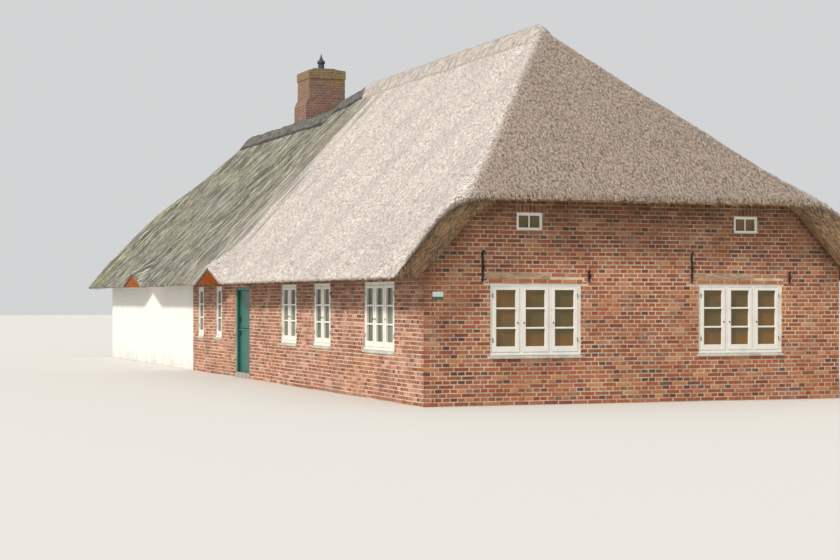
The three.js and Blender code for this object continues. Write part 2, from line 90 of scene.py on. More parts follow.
# How the thatch is dressed
EYEBROW_COVER = 0.06
EYEBROW_REACH = 0.9
HIP_SOFTNESS = (0.08, 0.27)
HIP_SOFTNESS_DROP = 2.6
VERGE_RISE = 0.16
VERGE_RISE_LENGTH = 1.1
VERGE_SWELL = 0.12

# Sills, lintels and courses over the windows, and the smallest pieces that a brick is cut to
SILL = {"height": 0.05, "projection": 0.035, "ear": 0.03, "reveal": 0.015}
LINTEL = {"bearing": 0.1, "top": 2.085, "course": 0.072, "course_bearing": 0.035, "timber": 0.66}
SOLDIERS = {"height": 0.115, "reach": 0.06}
LEAST_LENGTH = 0.015
LEAST_HEIGHT = 0.018

# Shares of bricks burnt blue-black
BURNT = {"gable": 0.11, "long_wall": 0.07, "stack": 0.12, "crown": 0.1}

# The chimney's bricks start under the thatch. Its crown stands out, and mortar covers its last bricks.
STACK_BASE = 4.9
CROWN = {"overhang": 0.018, "bed": 0.065, "mound": 0.03, "draw_in": 0.42}

# The windows' joinery
PANE = {"width": 0.335, "height": 0.268, "rows": 3, "bar": 0.041}
BORDER = 0.105
MULLION = 0.168
BOTTOM_RAIL = 0.142
TOP_RAIL = 0.1
POST = 0.05
ATTIC_POST = 0.045
SASH_PROUD = 0.008
SASH_BACK = 0.034

# The stable door: its leaves' thickness, boards, rails and stiles, its hinges, and the jamb that holds them
DOOR = {"thickness": 0.045, "near_gap": 0.011, "boards": 7, "rail": 0.11, "stile": 0.1}
HINGE = {"inset": 0.16, "height": 0.06, "pin": 0.03, "off_face": 0.014, "radius": 0.011, "strap": 0.62}
HINGE_JAMB = {"depth": 0.09, "width": 0.0697}

# Wall anchors: how far they stand from a window's sides, and the heights that they start from and reach
ANCHOR = {"left": 0.125, "right": 0.15, "foot": 1.93, "tall": 2.4, "short": 2.1}

# The blank plate: its distance from the corner, its width, and its heights above the ground
PLATE = {"inset": 0.14, "width": 0.18, "foot": 1.655, "split": 1.7, "top": 1.78}

# The photograph's camera and the key light
PHOTO_WIDTH, PHOTO_HEIGHT = 840, 560
HORIZON_ROW = 300
CAMERA_PLACE = (-13.31, -38.99, 1.65)
CAMERA_YAW = -20.14
LIGHT_FROM = (-0.95, -0.36, 0.8)
STAGE_HALF = 160

SEED = 7


def linear(hex_colour):
    """An sRGB hex colour as linear RGBA."""
    channels = [int(hex_colour[i : i + 2], 16) / 255 for i in (1, 3, 5)]
    return tuple(c / 12.92 if c <= 0.04045 else ((c + 0.055) / 1.055) ** 2.4 for c in channels) + (1.0,)


def colour_property(name, hex_colour, description):
    colour = linear(hex_colour)
    return FloatVectorProperty(
        name=name, description=description, subtype="COLOR", size=4, min=0, max=1, default=colour
    )


def length_property(name, metres, description):
    return FloatProperty(name=name, description=description, default=metres, min=0, unit="LENGTH")


class CottageThatch(bpy.types.PropertyGroup):
    """Reed thatch and its ridge capping."""

    cell: length_property("Cell", 0.085, "Spacing of the roof surface's grid")
    unevenness: length_property("Unevenness", 0.022, "How far the dressed surface wanders from a plane")
    verge_setback: length_property("Verge setback", 0.13, "How far a verge's cut face runs back below")
    stalks_per_metre: IntProperty(
        name="Stalks per square metre", description="Loose reed ends on the slopes", default=215, min=0
    )
    fringe_spacing: length_property("Fringe spacing", 0.011, "Distance between reed ends along an edge")
    stalk_width: length_property("Stalk width", 0.01, "Width of a reed end, drawn about half as wide again")
    new_reed: colour_property("New reed", "#d5ccc3", "Pale, weathered reed on the dwelling")
    reed_shadow: colour_property("Reed shadow", "#7b726f", "Between the reed ends")
    old_reed: colour_property("Old reed", "#8a867d", "Grey-green reed on the barn")
    moss: colour_property("Moss", "#595c4f", "Moss on the old reed")
    cut_reed: colour_property("Cut reed", "#ab8c6c", "Brown cut ends under verges and eaves")


class CottageBricks(bpy.types.PropertyGroup):
    """Brickwork in English bond."""

    length: length_property("Length", 0.24, "A stretcher's length")
    header: length_property("Header", 0.115, "A header's width")
    height: length_property("Height", 0.055, "A brick's height")
    joint: length_property("Joint", 0.012, "Mortar joint")
    proud: length_property("Proud", 0.007, "How far a brick stands out of its mortar")
    chamfer: length_property("Chamfer", 0.007, "Worn edge of a brick")
    brick: colour_property("Brick", "#a45a3a", "Common brick")
    brick_pale: colour_property("Pale brick", "#c28659", "Underfired brick")
    brick_deep: colour_property("Deep brick", "#80412b", "Well fired brick")
    burnt: colour_property("Burnt header", "#4a3a3b", "Brick burnt blue-black in the kiln")
    pinkish: colour_property("Long wall brick", "#9c5f4b", "Faded brick of the long walls")
    mortar: colour_property("Mortar", "#d9cab3", "Lime mortar")
    limewash: colour_property("Limewash", "#e9eae6", "White coat on the barn's walls")


class CottageJoinery(bpy.types.PropertyGroup):
    """Painted windows and door."""

    white: colour_property("White paint", "#e9e7df", "Window paint")
    green: colour_property("Green paint", "#105c51", "Door paint")
    boards: colour_property("Oiled boards", "#cc7014", "Boards under the eyebrows")
    bevel: length_property("Bevel", 0.003, "Rounded edge of painted wood")


class CottageStage(bpy.types.PropertyGroup):
    """Floor, light and camera."""

    floor: colour_property("Floor", "#d9d7d2", "Studio floor")
    sun: FloatProperty(name="Sun", description="Strength of the soft key light", default=2.9, min=0)
    sky: FloatProperty(name="Sky", description="Strength of the surrounding light", default=0.74, min=0)
    lens: FloatProperty(
        name="Lens", description="Focal length for a 36 mm sensor", default=77.14, min=1, unit="CAMERA"
    )


def settings():
    return bpy.context.scene.cottage


# Shader building


def feed(tree, socket, value):
    """Sets a socket to a value, or links another node's output to it."""
    if isinstance(value, bpy.types.NodeSocket):
        tree.links.new(value, socket)
    else:
        socket.default_value = value


def add_node(tree, kind, inputs=None, **values):
    """Adds one shader node with its settings, and its inputs as values or as another node's output."""
    made = tree.nodes.new("ShaderNode" + kind)
    for name, value in values.items():
        setattr(made, name, value)
    for socket, value in (inputs or {}).items():
        feed(tree, made.inputs[socket], value)
    return made


def start_material(name):
    """A new material with a Principled shader; returns the material, its tree and the shader."""
    made = bpy.data.materials.new(name)
    made.use_nodes = True
    tree = made.node_tree
    tree.nodes.clear()
    shader = add_node(tree, "BsdfPrincipled")
    add_node(tree, "OutputMaterial", {"Surface": shader.outputs[0]})
    return made, tree, shader


def set_surface(tree, shader, sockets, relief=None, depth=0.0, strength=1.0):
    """Sets the shader's sockets, and its relief from a height pattern and a depth in metres."""
    for name, value in sockets.items():
        feed(tree, shader.inputs[name], value)
    if relief is not None:
        inputs = {"Strength": strength, "Distance": depth, "Height": relief}
        feed(tree, shader.inputs["Normal"], add_node(tree, "Bump", inputs).outputs[0])


def once(build):
    """Keeps a material builder's result, so that pieces share it."""
    kept = {}

    def get(*key):
        if key not in kept:
            kept[key] = build(*key)
        return kept[key]

    return get


def per_mm(size):
    """A pattern scale for features of this size in millimetres, on coordinates in metres."""
    return 1000 / size


def house_place(tree):
    """Where a point of the surface is: how far out from under the ridge, how far along it, and how high."""
    where = add_node(tree, "TexCoord").outputs["Object"]
    parts = add_node(tree, "SeparateXYZ", {"Vector": where}).outputs
    away = add_node(tree, "Math", {0: parts["X"]}, operation="ABSOLUTE").outputs[0]
    return away, parts["Y"], parts["Z"]


def object_pattern(tree, size, squeeze=(1, 1, 1), detail=3.0, roughness=0.55, distortion=0.0):
    """A noise pattern on object coordinates, with features of this size in millimetres, squeezed along
    each axis by its own factor."""
    where = add_node(tree, "TexCoord").outputs["Object"]
    mapped = add_node(tree, "Mapping", {"Vector": where, "Scale": squeeze}).outputs[0]
    inputs = {
        "Vector": mapped,
        "Scale": per_mm(size),
        "Detail": detail,
        "Roughness": roughness,
        "Distortion": distortion,
    }
    return add_node(tree, "TexNoise", inputs).outputs[0]


def laid_over(tree, under, over, pattern, low=0.0, high=1.0, least=0.0, most=1.0, kept_to=None):
    """Lays one colour over another where a pattern passes from low to high, by a share from least to most,
    and only as far as another pattern lets it."""
    inputs = {"Value": pattern, "From Min": low, "From Max": high, "To Min": least, "To Max": most}
    share = add_node(tree, "MapRange", inputs).outputs[0]
    if kept_to is not None:
        share = add_node(tree, "Math", {0: kept_to, 1: share}, operation="MULTIPLY").outputs[0]
    return add_node(tree, "Mix", {0: share, 6: under, 7: over}, data_type="RGBA").outputs[2]


def ragged(tree, value, pattern, reach):
    """A value that a pattern pushes up and down, by up to half of this reach."""
    swing = add_node(tree, "Math", {0: pattern, 1: 0.5}, operation="SUBTRACT").outputs[0]
    wide = add_node(tree, "Math", {0: swing, 1: reach}, operation="MULTIPLY").outputs[0]
    return add_node(tree, "Math", {0: value, 1: wide}, operation="ADD").outputs[0]


def reed_age(tree, runs):
    """0 where the reed is new and 1 on the old barn end, with streaks of each across the joint."""
    _, along, _ = house_place(tree)
    streaked = ragged(tree, along, runs, 9.0)
    inputs = {"Value": streaked, "From Min": THATCH_JOINT - 2.5, "From Max": THATCH_JOINT + 0.3}
    return add_node(tree, "MapRange", inputs).outputs[0]


def slope_pattern(tree, hip, size, stretch, detail=4, roughness=0.62):
    """A pattern drawn out along the fall of the roof: along X on the long slopes, along Y on the hips."""
    on_slope = object_pattern(tree, size, (1, stretch, 1), detail, roughness)
    on_hip = object_pattern(tree, size, (stretch, 1, 1), detail, roughness)
    return laid_over(tree, on_slope, on_hip, hip)


def verge_strands(tree, size, stretch):
    """Strands drawn out along the fall of either slope, for the cut faces at the gables."""
    away, along, up = house_place(tree)
    folded = add_node(tree, "CombineXYZ", {"X": away, "Y": along, "Z": up}).outputs[0]
    pitch = math.atan2(RIDGE_HOUSE - LIP_Z, EAVE_X)
    turned = add_node(tree, "Mapping", {"Vector": folded, "Rotation": (0, -pitch, 0)}).outputs[0]
    mapped = add_node(tree, "Mapping", {"Vector": turned, "Scale": (1 / stretch, 1, 1)}).outputs[0]
    inputs = {"Vector": mapped, "Scale": per_mm(size), "Detail": 4.0, "Roughness": 0.7}
    return add_node(tree, "TexNoise", inputs).outputs[0]


def shade_and_soot_under_thatch(tree):
    """1 on a wall right under the thatch, fading to 0 below it: painted shade under the thatch's overhang,
    with soot and damp that rain never washes.
    """
    away, _, up = house_place(tree)
    top, fall = RIDGE_HOUSE - THATCH_DEPTH, (RIDGE_HOUSE - LIP_Z) / EAVE_X
    drop = add_node(tree, "Math", {0: away, 1: fall}, operation="MULTIPLY").outputs[0]
    slope = add_node(tree, "Math", {0: top, 1: drop}, operation="SUBTRACT").outputs[0]
    soffit = add_node(tree, "Math", {0: slope, 1: FRONT_LIP - LIP}, operation="MINIMUM").outputs[0]
    below = add_node(tree, "Math", {0: soffit, 1: up}, operation="SUBTRACT").outputs[0]
    near = add_node(tree, "MapRange", {"Value": below, "To Min": 1.0, "To Max": 0.0}).outputs[0]
    patches = object_pattern(tree, 420, detail=5, roughness=0.65)
    inputs = {"Value": patches, "From Min": 0.3, "From Max": 0.6, "To Min": 0.35}
    patchy = add_node(tree, "MapRange", inputs).outputs[0]
    return add_node(tree, "Math", {0: near, 1: patchy}, operation="MULTIPLY").outputs[0]


# Water reed, weathered: a dull, dry surface of cut stalk ends. Real stalks are 5 mm wide; they are drawn
# 30 to 50 mm wide in small bunches, so that the grain shows. The grain runs down the slope.
@once
def thatch_material():
    look = settings().thatch
    made, tree, shader = start_material("weathered_water_reed")
    names = ("hip", "cut", "deep")
    hip, cut, deep = [add_node(tree, "Attribute", attribute_name=name).outputs["Fac"] for name in names]
    streak = slope_pattern(tree, hip, 120, 3.6, 4, 0.72)
    runs = slope_pattern(tree, hip, 2600, 9, 3, 0.6)
    drift = slope_pattern(tree, hip, 1700, 2, 4, 0.6)
    speck = slope_pattern(tree, hip, 50, 1.6, 3, 0.7)
    ends = object_pattern(tree, 32, detail=2, roughness=0.6)
    age = reed_age(tree, runs)
    base = laid_over(tree, tuple(look.new_reed), tuple(look.old_reed), age)
    shadow = laid_over(tree, tuple(look.reed_shadow), linear("#4e4c45"), age)
    light = laid_over(tree, linear("#f9f2e9"), linear("#c6c2ae"), age)
    mauve = laid_over(tree, linear("#a4969a"), linear("#6d6b66"), age)
    colour = laid_over(tree, shadow, base, streak, 0.4, 0.52)
    colour = laid_over(tree, colour, light, ends, 0.47, 0.55, most=0.8)
    colour = laid_over(tree, colour, shadow, speck, 0.5, 0.57, most=0.85)
    # Broad mauve-grey drifts: painted patches of shade on the reed.
    colour = laid_over(tree, colour, mauve, drift, 0.45, 0.62, most=0.36)
    patches = slope_pattern(tree, hip, 1100, 6, 6, 0.72)
    colour = laid_over(tree, colour, tuple(look.moss), patches, 0.45, 0.51, most=0.8, kept_to=age)
    damp = slope_pattern(tree, hip, 2600, 5, 4, 0.6)
    colour = laid_over(tree, colour, linear("#50544f"), damp, 0.45, 0.53, most=0.85, kept_to=age)
    colour = laid_over(tree, colour, linear("#a49e90"), runs, 0.5, 0.6, most=0.6, kept_to=age)
    rot = slope_pattern(tree, hip, 640, 7, 6, 0.76)
    colour = laid_over(tree, colour, linear("#3b3e39"), rot, 0.465, 0.525, most=0.88, kept_to=age)
    lichen = slope_pattern(tree, hip, 520, 7, 6, 0.76)
    crust = laid_over(tree, linear("#d3d0c0"), linear("#c2bf8c"), drift, 0.45, 0.6)
    colour = laid_over(tree, colour, crust, lichen, 0.525, 0.565, most=0.88, kept_to=age)
    # The hips are browner and darker: partly the reed's own cut ends, partly painted shade for faces that
    # get less light.
    grain = slope_pattern(tree, hip, 70, 4, 3, 0.7)
    hip_reed_and_shade = laid_over(tree, linear("#ae9882"), linear("#3a2f29"), grain, 0.46, 0.55)
    on_hip = laid_over(tree, hip_reed_and_shade, linear("#6c695c"), age)
    colour = laid_over(tree, colour, on_hip, hip, 0.3, 1.0, most=0.78)
    strands = verge_strands(tree, 17, 7)
    cut_face_and_shade = laid_over(tree, linear("#65503c"), tuple(look.cut_reed), strands, 0.4, 0.6)
    # Painted shade: the cut face darkens towards its upper edge, under the overhanging top coat.
    cut_face_and_shade = laid_over(tree, cut_face_and_shade, linear("#463629"), deep, 0.1, 0.42, 0.8, 0.0)
    colour = laid_over(tree, colour, cut_face_and_shade, cut)
    broad = add_node(tree, "Math", {0: streak, 1: 0.6}, operation="MULTIPLY").outputs[0]
    raised = add_node(tree, "Math", {0: broad, 1: ends}, operation="ADD").outputs[0]
    pits = add_node(tree, "Math", {0: speck, 1: 0.5}, operation="MULTIPLY").outputs[0]
    height = add_node(tree, "Math", {0: raised, 1: pits}, operation="SUBTRACT").outputs[0]
    sockets = {"Base Color": colour, "Roughness": 0.93, "Specular IOR Level": 0.25}
    set_surface(tree, shader, sockets, height, 0.02)
    return made


# Ridge capping of sedge and turf: pale and tidy on the dwelling, grey and mossy beyond a slanting joint.
@once
def ridge_material():
    made, tree, shader = start_material("sedge_ridge")
    away, along, _ = house_place(tree)
    lean = add_node(tree, "Math", {0: away, 1: RIDGE_JOINT_LEAN}, operation="MULTIPLY").outputs[0]
    slanted = add_node(tree, "Math", {0: along, 1: lean}, operation="ADD").outputs[0]
    inputs = {"Value": slanted, "From Min": RIDGE_JOINT[0], "From Max": RIDGE_JOINT[1]}
    age = add_node(tree, "MapRange", inputs).outputs[0]
    lumps = object_pattern(tree, 150, (1, 1.5, 1), 5, 0.7)
    speck = object_pattern(tree, 45, detail=3, roughness=0.7)
    base = laid_over(tree, linear("#cbc3ba"), linear("#777570"), age)
    shadow = laid_over(tree, linear("#958c85"), linear("#373736"), age)
    light = laid_over(tree, linear("#e4ddd4"), linear("#b0aca0"), age)
    colour = laid_over(tree, shadow, base, lumps, 0.41, 0.58)
    colour = laid_over(tree, colour, light, speck, 0.5, 0.68, most=0.6)
    # The capping's thick lower edges are painted in the shadow colour: painted shade, stronger on the old
    # end.
    cut = add_node(tree, "Attribute", attribute_name="cut").outputs["Fac"]
    colour = laid_over(tree, colour, shadow, age, least=0.2, most=0.7, kept_to=cut)
    height = add_node(tree, "Math", {0: lumps, 1: speck}, operation="ADD").outputs[0]
    sockets = {"Base Color": colour, "Roughness": 0.95, "Specular IOR Level": 0.25}
    set_surface(tree, shader, sockets, height, 0.04)
    return made


# Single reed ends: the same reed, each a little lighter or darker by its own tone.
@once
def stalk_material(kind):
    made, tree, shader = start_material("reed_ends_" + kind)
    tone = add_node(tree, "Attribute", attribute_name="tone").outputs["Fac"]
    if kind == "cut":
        strands = verge_strands(tree, 90, 3)
        inputs = {"Value": strands, "From Min": 0.4, "From Max": 0.6, "To Min": -0.3, "To Max": 0.3}
        clump = add_node(tree, "MapRange", inputs).outputs[0]
        tone = add_node(tree, "Math", {0: tone, 1: clump}, operation="ADD").outputs[0]
        colour = laid_over(tree, linear("#4a3a2c"), linear("#cfb490"), tone)
    else:
        runs = object_pattern(tree, 2600, (1, 9, 1), 3, 0.6)
        age = reed_age(tree, runs)
        pale = laid_over(tree, linear("#ede5db"), linear("#c8c4b4"), age)
        dark = laid_over(tree, linear("#8f8680"), linear("#55554e"), age)
        colour = laid_over(tree, dark, pale, tone)
    set_surface(tree, shader, {"Base Color": colour, "Roughness": 0.85, "Specular IOR Level": 0.3})
    return made


# Fired clay: matt, sandy, with soft edges. Each brick has its own tone, burnt headers are blue-black, and
# mortar is smeared over the edges.
@once
def brick_material(kind):
    look = settings().bricks
    made, tree, shader = start_material("fired_brick_" + kind)
    names = ("tone", "burnt", "edge")
    tone, burnt, edge = [add_node(tree, "Attribute", attribute_name=name).outputs["Fac"] for name in names]
    long_wall = kind == "long_wall"
    middle = tuple(look.pinkish) if long_wall else tuple(look.brick)
    pale = linear("#cf9d86") if long_wall else tuple(look.brick_pale)
    colour = laid_over(tree, tuple(look.brick_deep), middle, tone, 0.0, 0.5)
    colour = laid_over(tree, colour, pale, tone, 0.5, 1.0)
    colour = laid_over(tree, colour, tuple(look.burnt), burnt)
    rag = object_pattern(tree, 26, detail=4, roughness=0.7)
    smear = ragged(tree, edge, rag, 2.4)
    colour = laid_over(tree, colour, tuple(look.mortar), smear, 0.42, 0.95, most=0.85)
    sand = object_pattern(tree, 12, detail=4, roughness=0.7)
    colour = laid_over(tree, colour, linear("#6b3626"), sand, 0.45, 0.8, most=0.45)
    firing = object_pattern(tree, 1300, detail=4, roughness=0.6)
    colour = laid_over(tree, colour, linear("#c87848"), firing, 0.52, 0.66, most=0.3)
    colour = laid_over(tree, colour, linear("#7c4638"), firing, 0.48, 0.36, most=0.3)
    stain = object_pattern(tree, 310, detail=6, roughness=0.75)
    colour = laid_over(tree, colour, linear("#6b4637"), stain, 0.52, 0.7, most=0.4)
    bloom = object_pattern(tree, 420, (1, 1, 1.3), 5, 0.65)
    colour = laid_over(tree, colour, linear("#c9b094"), bloom, 0.5, 0.75, most=0.55 if long_wall else 0.4)
    if kind == "chimney":
        soot = object_pattern(tree, 350, detail=5, roughness=0.7)
        colour = laid_over(tree, colour, linear("#6f5a5b"), soot, 0.35, 0.65, 0.5, 0.85)
        _, _, up = house_place(tree)
        low, high = STACK_HIGH.z - 0.45, STACK_HIGH.z + 0.2
        inputs = {"Value": up, "From Min": low, "From Max": high, "To Min": 0.12}
        top = add_node(tree, "MapRange", inputs).outputs[0]
        moss = object_pattern(tree, 110, detail=5, roughness=0.7)
        colour = laid_over(tree, colour, linear("#8d7c31"), moss, 0.43, 0.56, kept_to=top)
    else:
        # How strongly the painted shade and soot under the thatch darken the bricks: most on the gable.
        grime = 0.85 if kind == "gable" else 0.5
        colour = laid_over(tree, colour, linear("#4c3319"), shade_and_soot_under_thatch(tree), most=grime)
    set_surface(tree, shader, {"Base Color": colour, "Roughness": 0.88}, sand, 0.004)
    return made


# Lime mortar: pale, sandy, a little washed out.
@once
def mortar_material(kind):
    look = settings().bricks
    made, tree, shader = start_material("lime_mortar_" + kind)
    grit = object_pattern(tree, 7, detail=3, roughness=0.7)
    stain = object_pattern(tree, 600, detail=5, roughness=0.65)
    base = linear("#93847c") if kind == "chimney" else tuple(look.mortar)
    colour = laid_over(tree, base, linear("#97806a"), stain, 0.42, 0.6, most=0.62)
    colour = laid_over(tree, colour, linear("#7f7468"), grit, 0.5, 0.8, most=0.35)
    # The wall's mortar gets the same painted shade and soot under the thatch.
    if kind == "wall":
        colour = laid_over(tree, colour, linear("#4c3319"), shade_and_soot_under_thatch(tree), most=0.75)
    set_surface(tree, shader, {"Base Color": colour, "Roughness": 0.95}, grit, 0.003)
    return made


# Moss on mortar: yellow-green cushions.
@once
def moss_material():
    made, tree, shader = start_material("mossy_mortar")
    tuft = object_pattern(tree, 40, detail=6, roughness=0.7)
    colour = laid_over(tree, linear("#4b4a37"), linear("#7d7638"), tuft, 0.38, 0.6)
    set_surface(tree, shader, {"Base Color": colour, "Roughness": 0.95}, tuft, 0.02)
    return made


# Limewash over brick: chalky white, with the bricks' relief and some grey where rain splashes.
@once
def limewash_material():
    look = settings().bricks
    made, tree, shader = start_material("limewash")
    blotch = object_pattern(tree, 500, detail=6, roughness=0.65)
    colour = laid_over(tree, tuple(look.limewash), linear("#cfcfc6"), blotch, 0.5, 0.8, most=0.5)
    _, _, up = house_place(tree)
    inputs = {"Value": up, "From Min": 0.4, "From Max": 0.0, "To Max": 0.8}
    splash = add_node(tree, "MapRange", inputs).outputs[0]
    colour = laid_over(tree, colour, linear("#b5b2a8"), blotch, 0.25, 0.75, kept_to=splash)
    chalk = object_pattern(tree, 14, detail=4, roughness=0.6)
    set_surface(tree, shader, {"Base Color": colour, "Roughness": 0.85}, chalk, 0.004)
    return made


# Oil paint on softwood: satin, with brush marks along the grain and grime in places.
@once
def paint_material(name, paint, worn):
    made, tree, shader = start_material(name)
    brush = object_pattern(tree, 60, (1, 1, 0.08), 4, 0.6)
    grime = object_pattern(tree, 240, detail=6, roughness=0.7)
    colour = laid_over(tree, paint, worn, grime, 0.5, 0.8, most=0.55)
    colour = laid_over(tree, colour, worn, brush, 0.5, 0.75, most=0.18)
    inputs = {"Value": grime, "From Min": 0.3, "From Max": 0.7, "To Min": 0.32, "To Max": 0.5}
    dulled = add_node(tree, "MapRange", inputs).outputs[0]
    set_surface(tree, shader, {"Base Color": colour, "Roughness": dulled}, brush, 0.0012)
    return made


def white_paint():
    return paint_material("white_oil_paint", tuple(settings().joinery.white), linear("#c4bfb1"))


def green_paint():
    return paint_material("green_oil_paint", tuple(settings().joinery.green), linear("#2a7467"))


# Softwood, oiled orange-brown or left to weather to grey, sawn along its length.
@once
def wood_material(name, light, dark, squeeze):
    made, tree, shader = start_material(name)
    grain = object_pattern(tree, 160, squeeze, 6, 0.65, 0.6)
    blot = object_pattern(tree, 400, detail=4, roughness=0.6)
    colour = laid_over(tree, dark, light, grain, 0.38, 0.62)
    colour = laid_over(tree, colour, dark, blot, 0.5, 0.8, most=0.4)
    sockets = {"Base Color": colour, "Roughness": 0.7, "Specular IOR Level": 0.3}
    set_surface(tree, shader, sockets, grain, 0.003)
    return made


# Window glass, drawn and a little wavy: clear, over painted shade for the dark room behind it. Gables'
# panes get a warm painted glow, long walls' a grey-green painted reflection.
@once
def glass_material(facing):
    made, tree, shader = start_material("drawn_window_glass_" + facing)
    wave = object_pattern(tree, 260, detail=1, roughness=0.4)
    painted_light_patches = object_pattern(tree, 700, detail=2, roughness=0.5)
    # Painted shade and painted light: dark and warm-lit panes on the gables, grey-green painted reflections
    # on the long walls.
    dim, lit = ("#7d6b3b", "#a0733a") if facing in ("front", "rear") else ("#6c7563", "#8f9886")
    colour = laid_over(tree, linear(dim), linear(lit), painted_light_patches, 0.4, 0.62)
    sockets = {"Base Color": colour, "Roughness": 0.03, "IOR": 1.5, "Transmission Weight": 0.45}
    set_surface(tree, shader, sockets, wave, 0.01, 0.25)
    return made


# Cement render: grey, gritty, with rain stains.
@once
def cement_material(name, clean_hex, dull_hex):
    made, tree, shader = start_material(name)
    grit = object_pattern(tree, 8, detail=4, roughness=0.7)
    stain = object_pattern(tree, 200, (1, 1, 0.4), 5, 0.65)
    colour = laid_over(tree, linear(clean_hex), linear(dull_hex), stain, 0.4, 0.7)
    colour = laid_over(tree, colour, linear("#6c675f"), grit, 0.5, 0.8, most=0.4)
    set_surface(tree, shader, {"Base Color": colour, "Roughness": 0.92}, grit, 0.003)
    return made


# Unglazed clay floor tiles, 200 mm square, worn smooth.
@once
def floor_material():
    made, tree, shader = start_material("clay_floor_tile")
    inputs = {
        "Vector": add_node(tree, "TexCoord").outputs["Object"],
        "Scale": 1.0,
        "Color1": linear("#8f5a45"),
        "Color2": linear("#7a4a39"),
        "Mortar": linear("#5e554c"),
        "Mortar Size": 0.006,
        "Brick Width": 0.2,
        "Row Height": 0.2,
    }
    tiles = add_node(tree, "TexBrick", inputs, offset=0.0).outputs
    set_surface(tree, shader, {"Base Color": tiles[0], "Roughness": 0.7}, tiles[1], 0.002, -1.0)
    return made


METALS = {"rusty_iron": ("#26242a", "#4a3a32", 0.6), "weathered_zinc": ("#3f4753", "#667080", 0.75)}


# Metal left outdoors: wrought iron gone black and rusty, or zinc gone dull slate.
@once
def metal_material(name):
    base_hex, bloom_hex, metallic = METALS[name]
    made, tree, shader = start_material(name)
    bloom = object_pattern(tree, 45, detail=6, roughness=0.7)
    colour = laid_over(tree, linear(base_hex), linear(bloom_hex), bloom, 0.45, 0.65)
    inputs = {"Value": bloom, "From Min": 0.3, "From Max": 0.7, "To Min": 0.45, "To Max": 0.75}
    dulled = add_node(tree, "MapRange", inputs).outputs[0]
    sockets = {"Base Color": colour, "Metallic": metallic, "Roughness": dulled}
    set_surface(tree, shader, sockets, bloom, 0.002)
    return made


# Enamelled steel: glossy white over a green foot.
@once
def enamel_material():
    made, tree, shader = start_material("enamel_plate")
    _, _, up = house_place(tree)
    low, high = PLATE["split"], PLATE["split"] + 0.003
    colour = laid_over(tree, linear("#3d6b59"), linear("#e6eae8"), up, low, high)
    set_surface(tree, shader, {"Base Color": colour, "Roughness": 0.2})
    return made


# Mesh building


def place_piece(name, mesh, material, body=HOUSE, replaces=(), smooth=False):
    """Makes a mesh a piece in place, with its material, its body and the nodes that it stands for."""
    mesh.materials.append(material)
    mesh.polygons.foreach_set("use_smooth", [smooth] * len(mesh.polygons))
    piece = bpy.data.objects.new(name, mesh)
    bpy.context.scene.collection.objects.link(piece)
    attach(piece, body)
    if replaces:
        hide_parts(*replaces)


def finish_piece(name, bm, material, body=HOUSE, replaces=(), smooth=False):
    """Turns a bmesh into a piece."""
    mesh = bpy.data.meshes.new(name)
    bm.to_mesh(mesh)
    bm.free()
    place_piece(name, mesh, material, body, replaces, smooth)


def dress_node(node, material):
    """Gives its material to a piece that the frame holds and that nothing stands for."""
    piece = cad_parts[node]
    piece.data.materials.clear()
    piece.data.materials.append(material)


def add_block(bm, low, high, bevel=0.0, matrix=None, segments=1):
    """A box between two corners, with its edges bevelled."""
    low, high = Vector(low), Vector(high)
    made = bmesh.ops.create_cube(bm, size=1.0)
    verts = made["verts"]
    bmesh.ops.scale(bm, vec=high - low, verts=verts)
    bmesh.ops.translate(bm, vec=(low + high) / 2, verts=verts)
    if bevel:
        edges = list({edge for vert in verts for edge in vert.link_edges})
        out = bmesh.ops.bevel(
            bm, geom=edges, offset=bevel, segments=segments, affect="EDGES", profile=0.5, material=-1
        )
        kept = {vert for vert in verts if vert.is_valid}
        verts = list({vert for face in out["faces"] for vert in face.verts} | kept)
    if matrix is not None:
        bmesh.ops.transform(bm, matrix=matrix, verts=verts)
    return verts


def joined_mesh(name, corners, faces, attributes):
    """One mesh from many copies of a small closed shape. Corners is (copies, corners, 3), faces index one
    copy's corners, and each attribute has one value a corner."""
    copies, per_copy, _ = corners.shape
    steps = (np.arange(copies) * per_copy)[:, None, None]
    polygons = (np.asarray(faces)[None] + steps).reshape(-1, len(faces[0]))
    mesh = bpy.data.meshes.new(name)
    mesh.from_pydata(corners.reshape(-1, 3).tolist(), [], polygons.tolist())
    for key, values in attributes.items():
        layer = mesh.attributes.new(key, "FLOAT", "POINT")
        layer.data.foreach_set("value", np.asarray(values, np.float32))
    mesh.update()
    return mesh


# Roof surface. Heights are functions of the plan position, as arrays.


def soft_min(a, b, softness):
    """The lower of two heights, rounded where they meet."""
    share = np.clip(0.5 + 0.5 * (b - a) / softness, 0, 1)
    return b * (1 - share) + a * share - softness * share * (1 - share)


def ridge_height(y):
    """The ridge drops to the barn's in two rounded steps."""
    places, shares = zip(*RIDGE_STEPS)
    share = sum(np.interp(y + shift, places, shares) for shift in (-0.2, -0.1, 0.0, 0.1, 0.2)) / 5
    return RIDGE_HOUSE + (RIDGE_BARN - RIDGE_HOUSE) * share


def slope_height(x, y):
    """The long slopes' planes."""
    return LIP_Z + (ridge_height(y) - LIP_Z) * (1 - np.abs(x) / EAVE_X)


def hip_heights(y):
    """The half-hips' planes."""
    front = FRONT_LIP + (RIDGE_HOUSE - FRONT_LIP) * (y + ROOF_Y) / (FRONT_APEX + ROOF_Y)
    rear = REAR_LIP + (RIDGE_BARN - REAR_LIP) * (ROOF_Y - y) / (ROOF_Y - REAR_APEX)
    return np.minimum(front, rear)


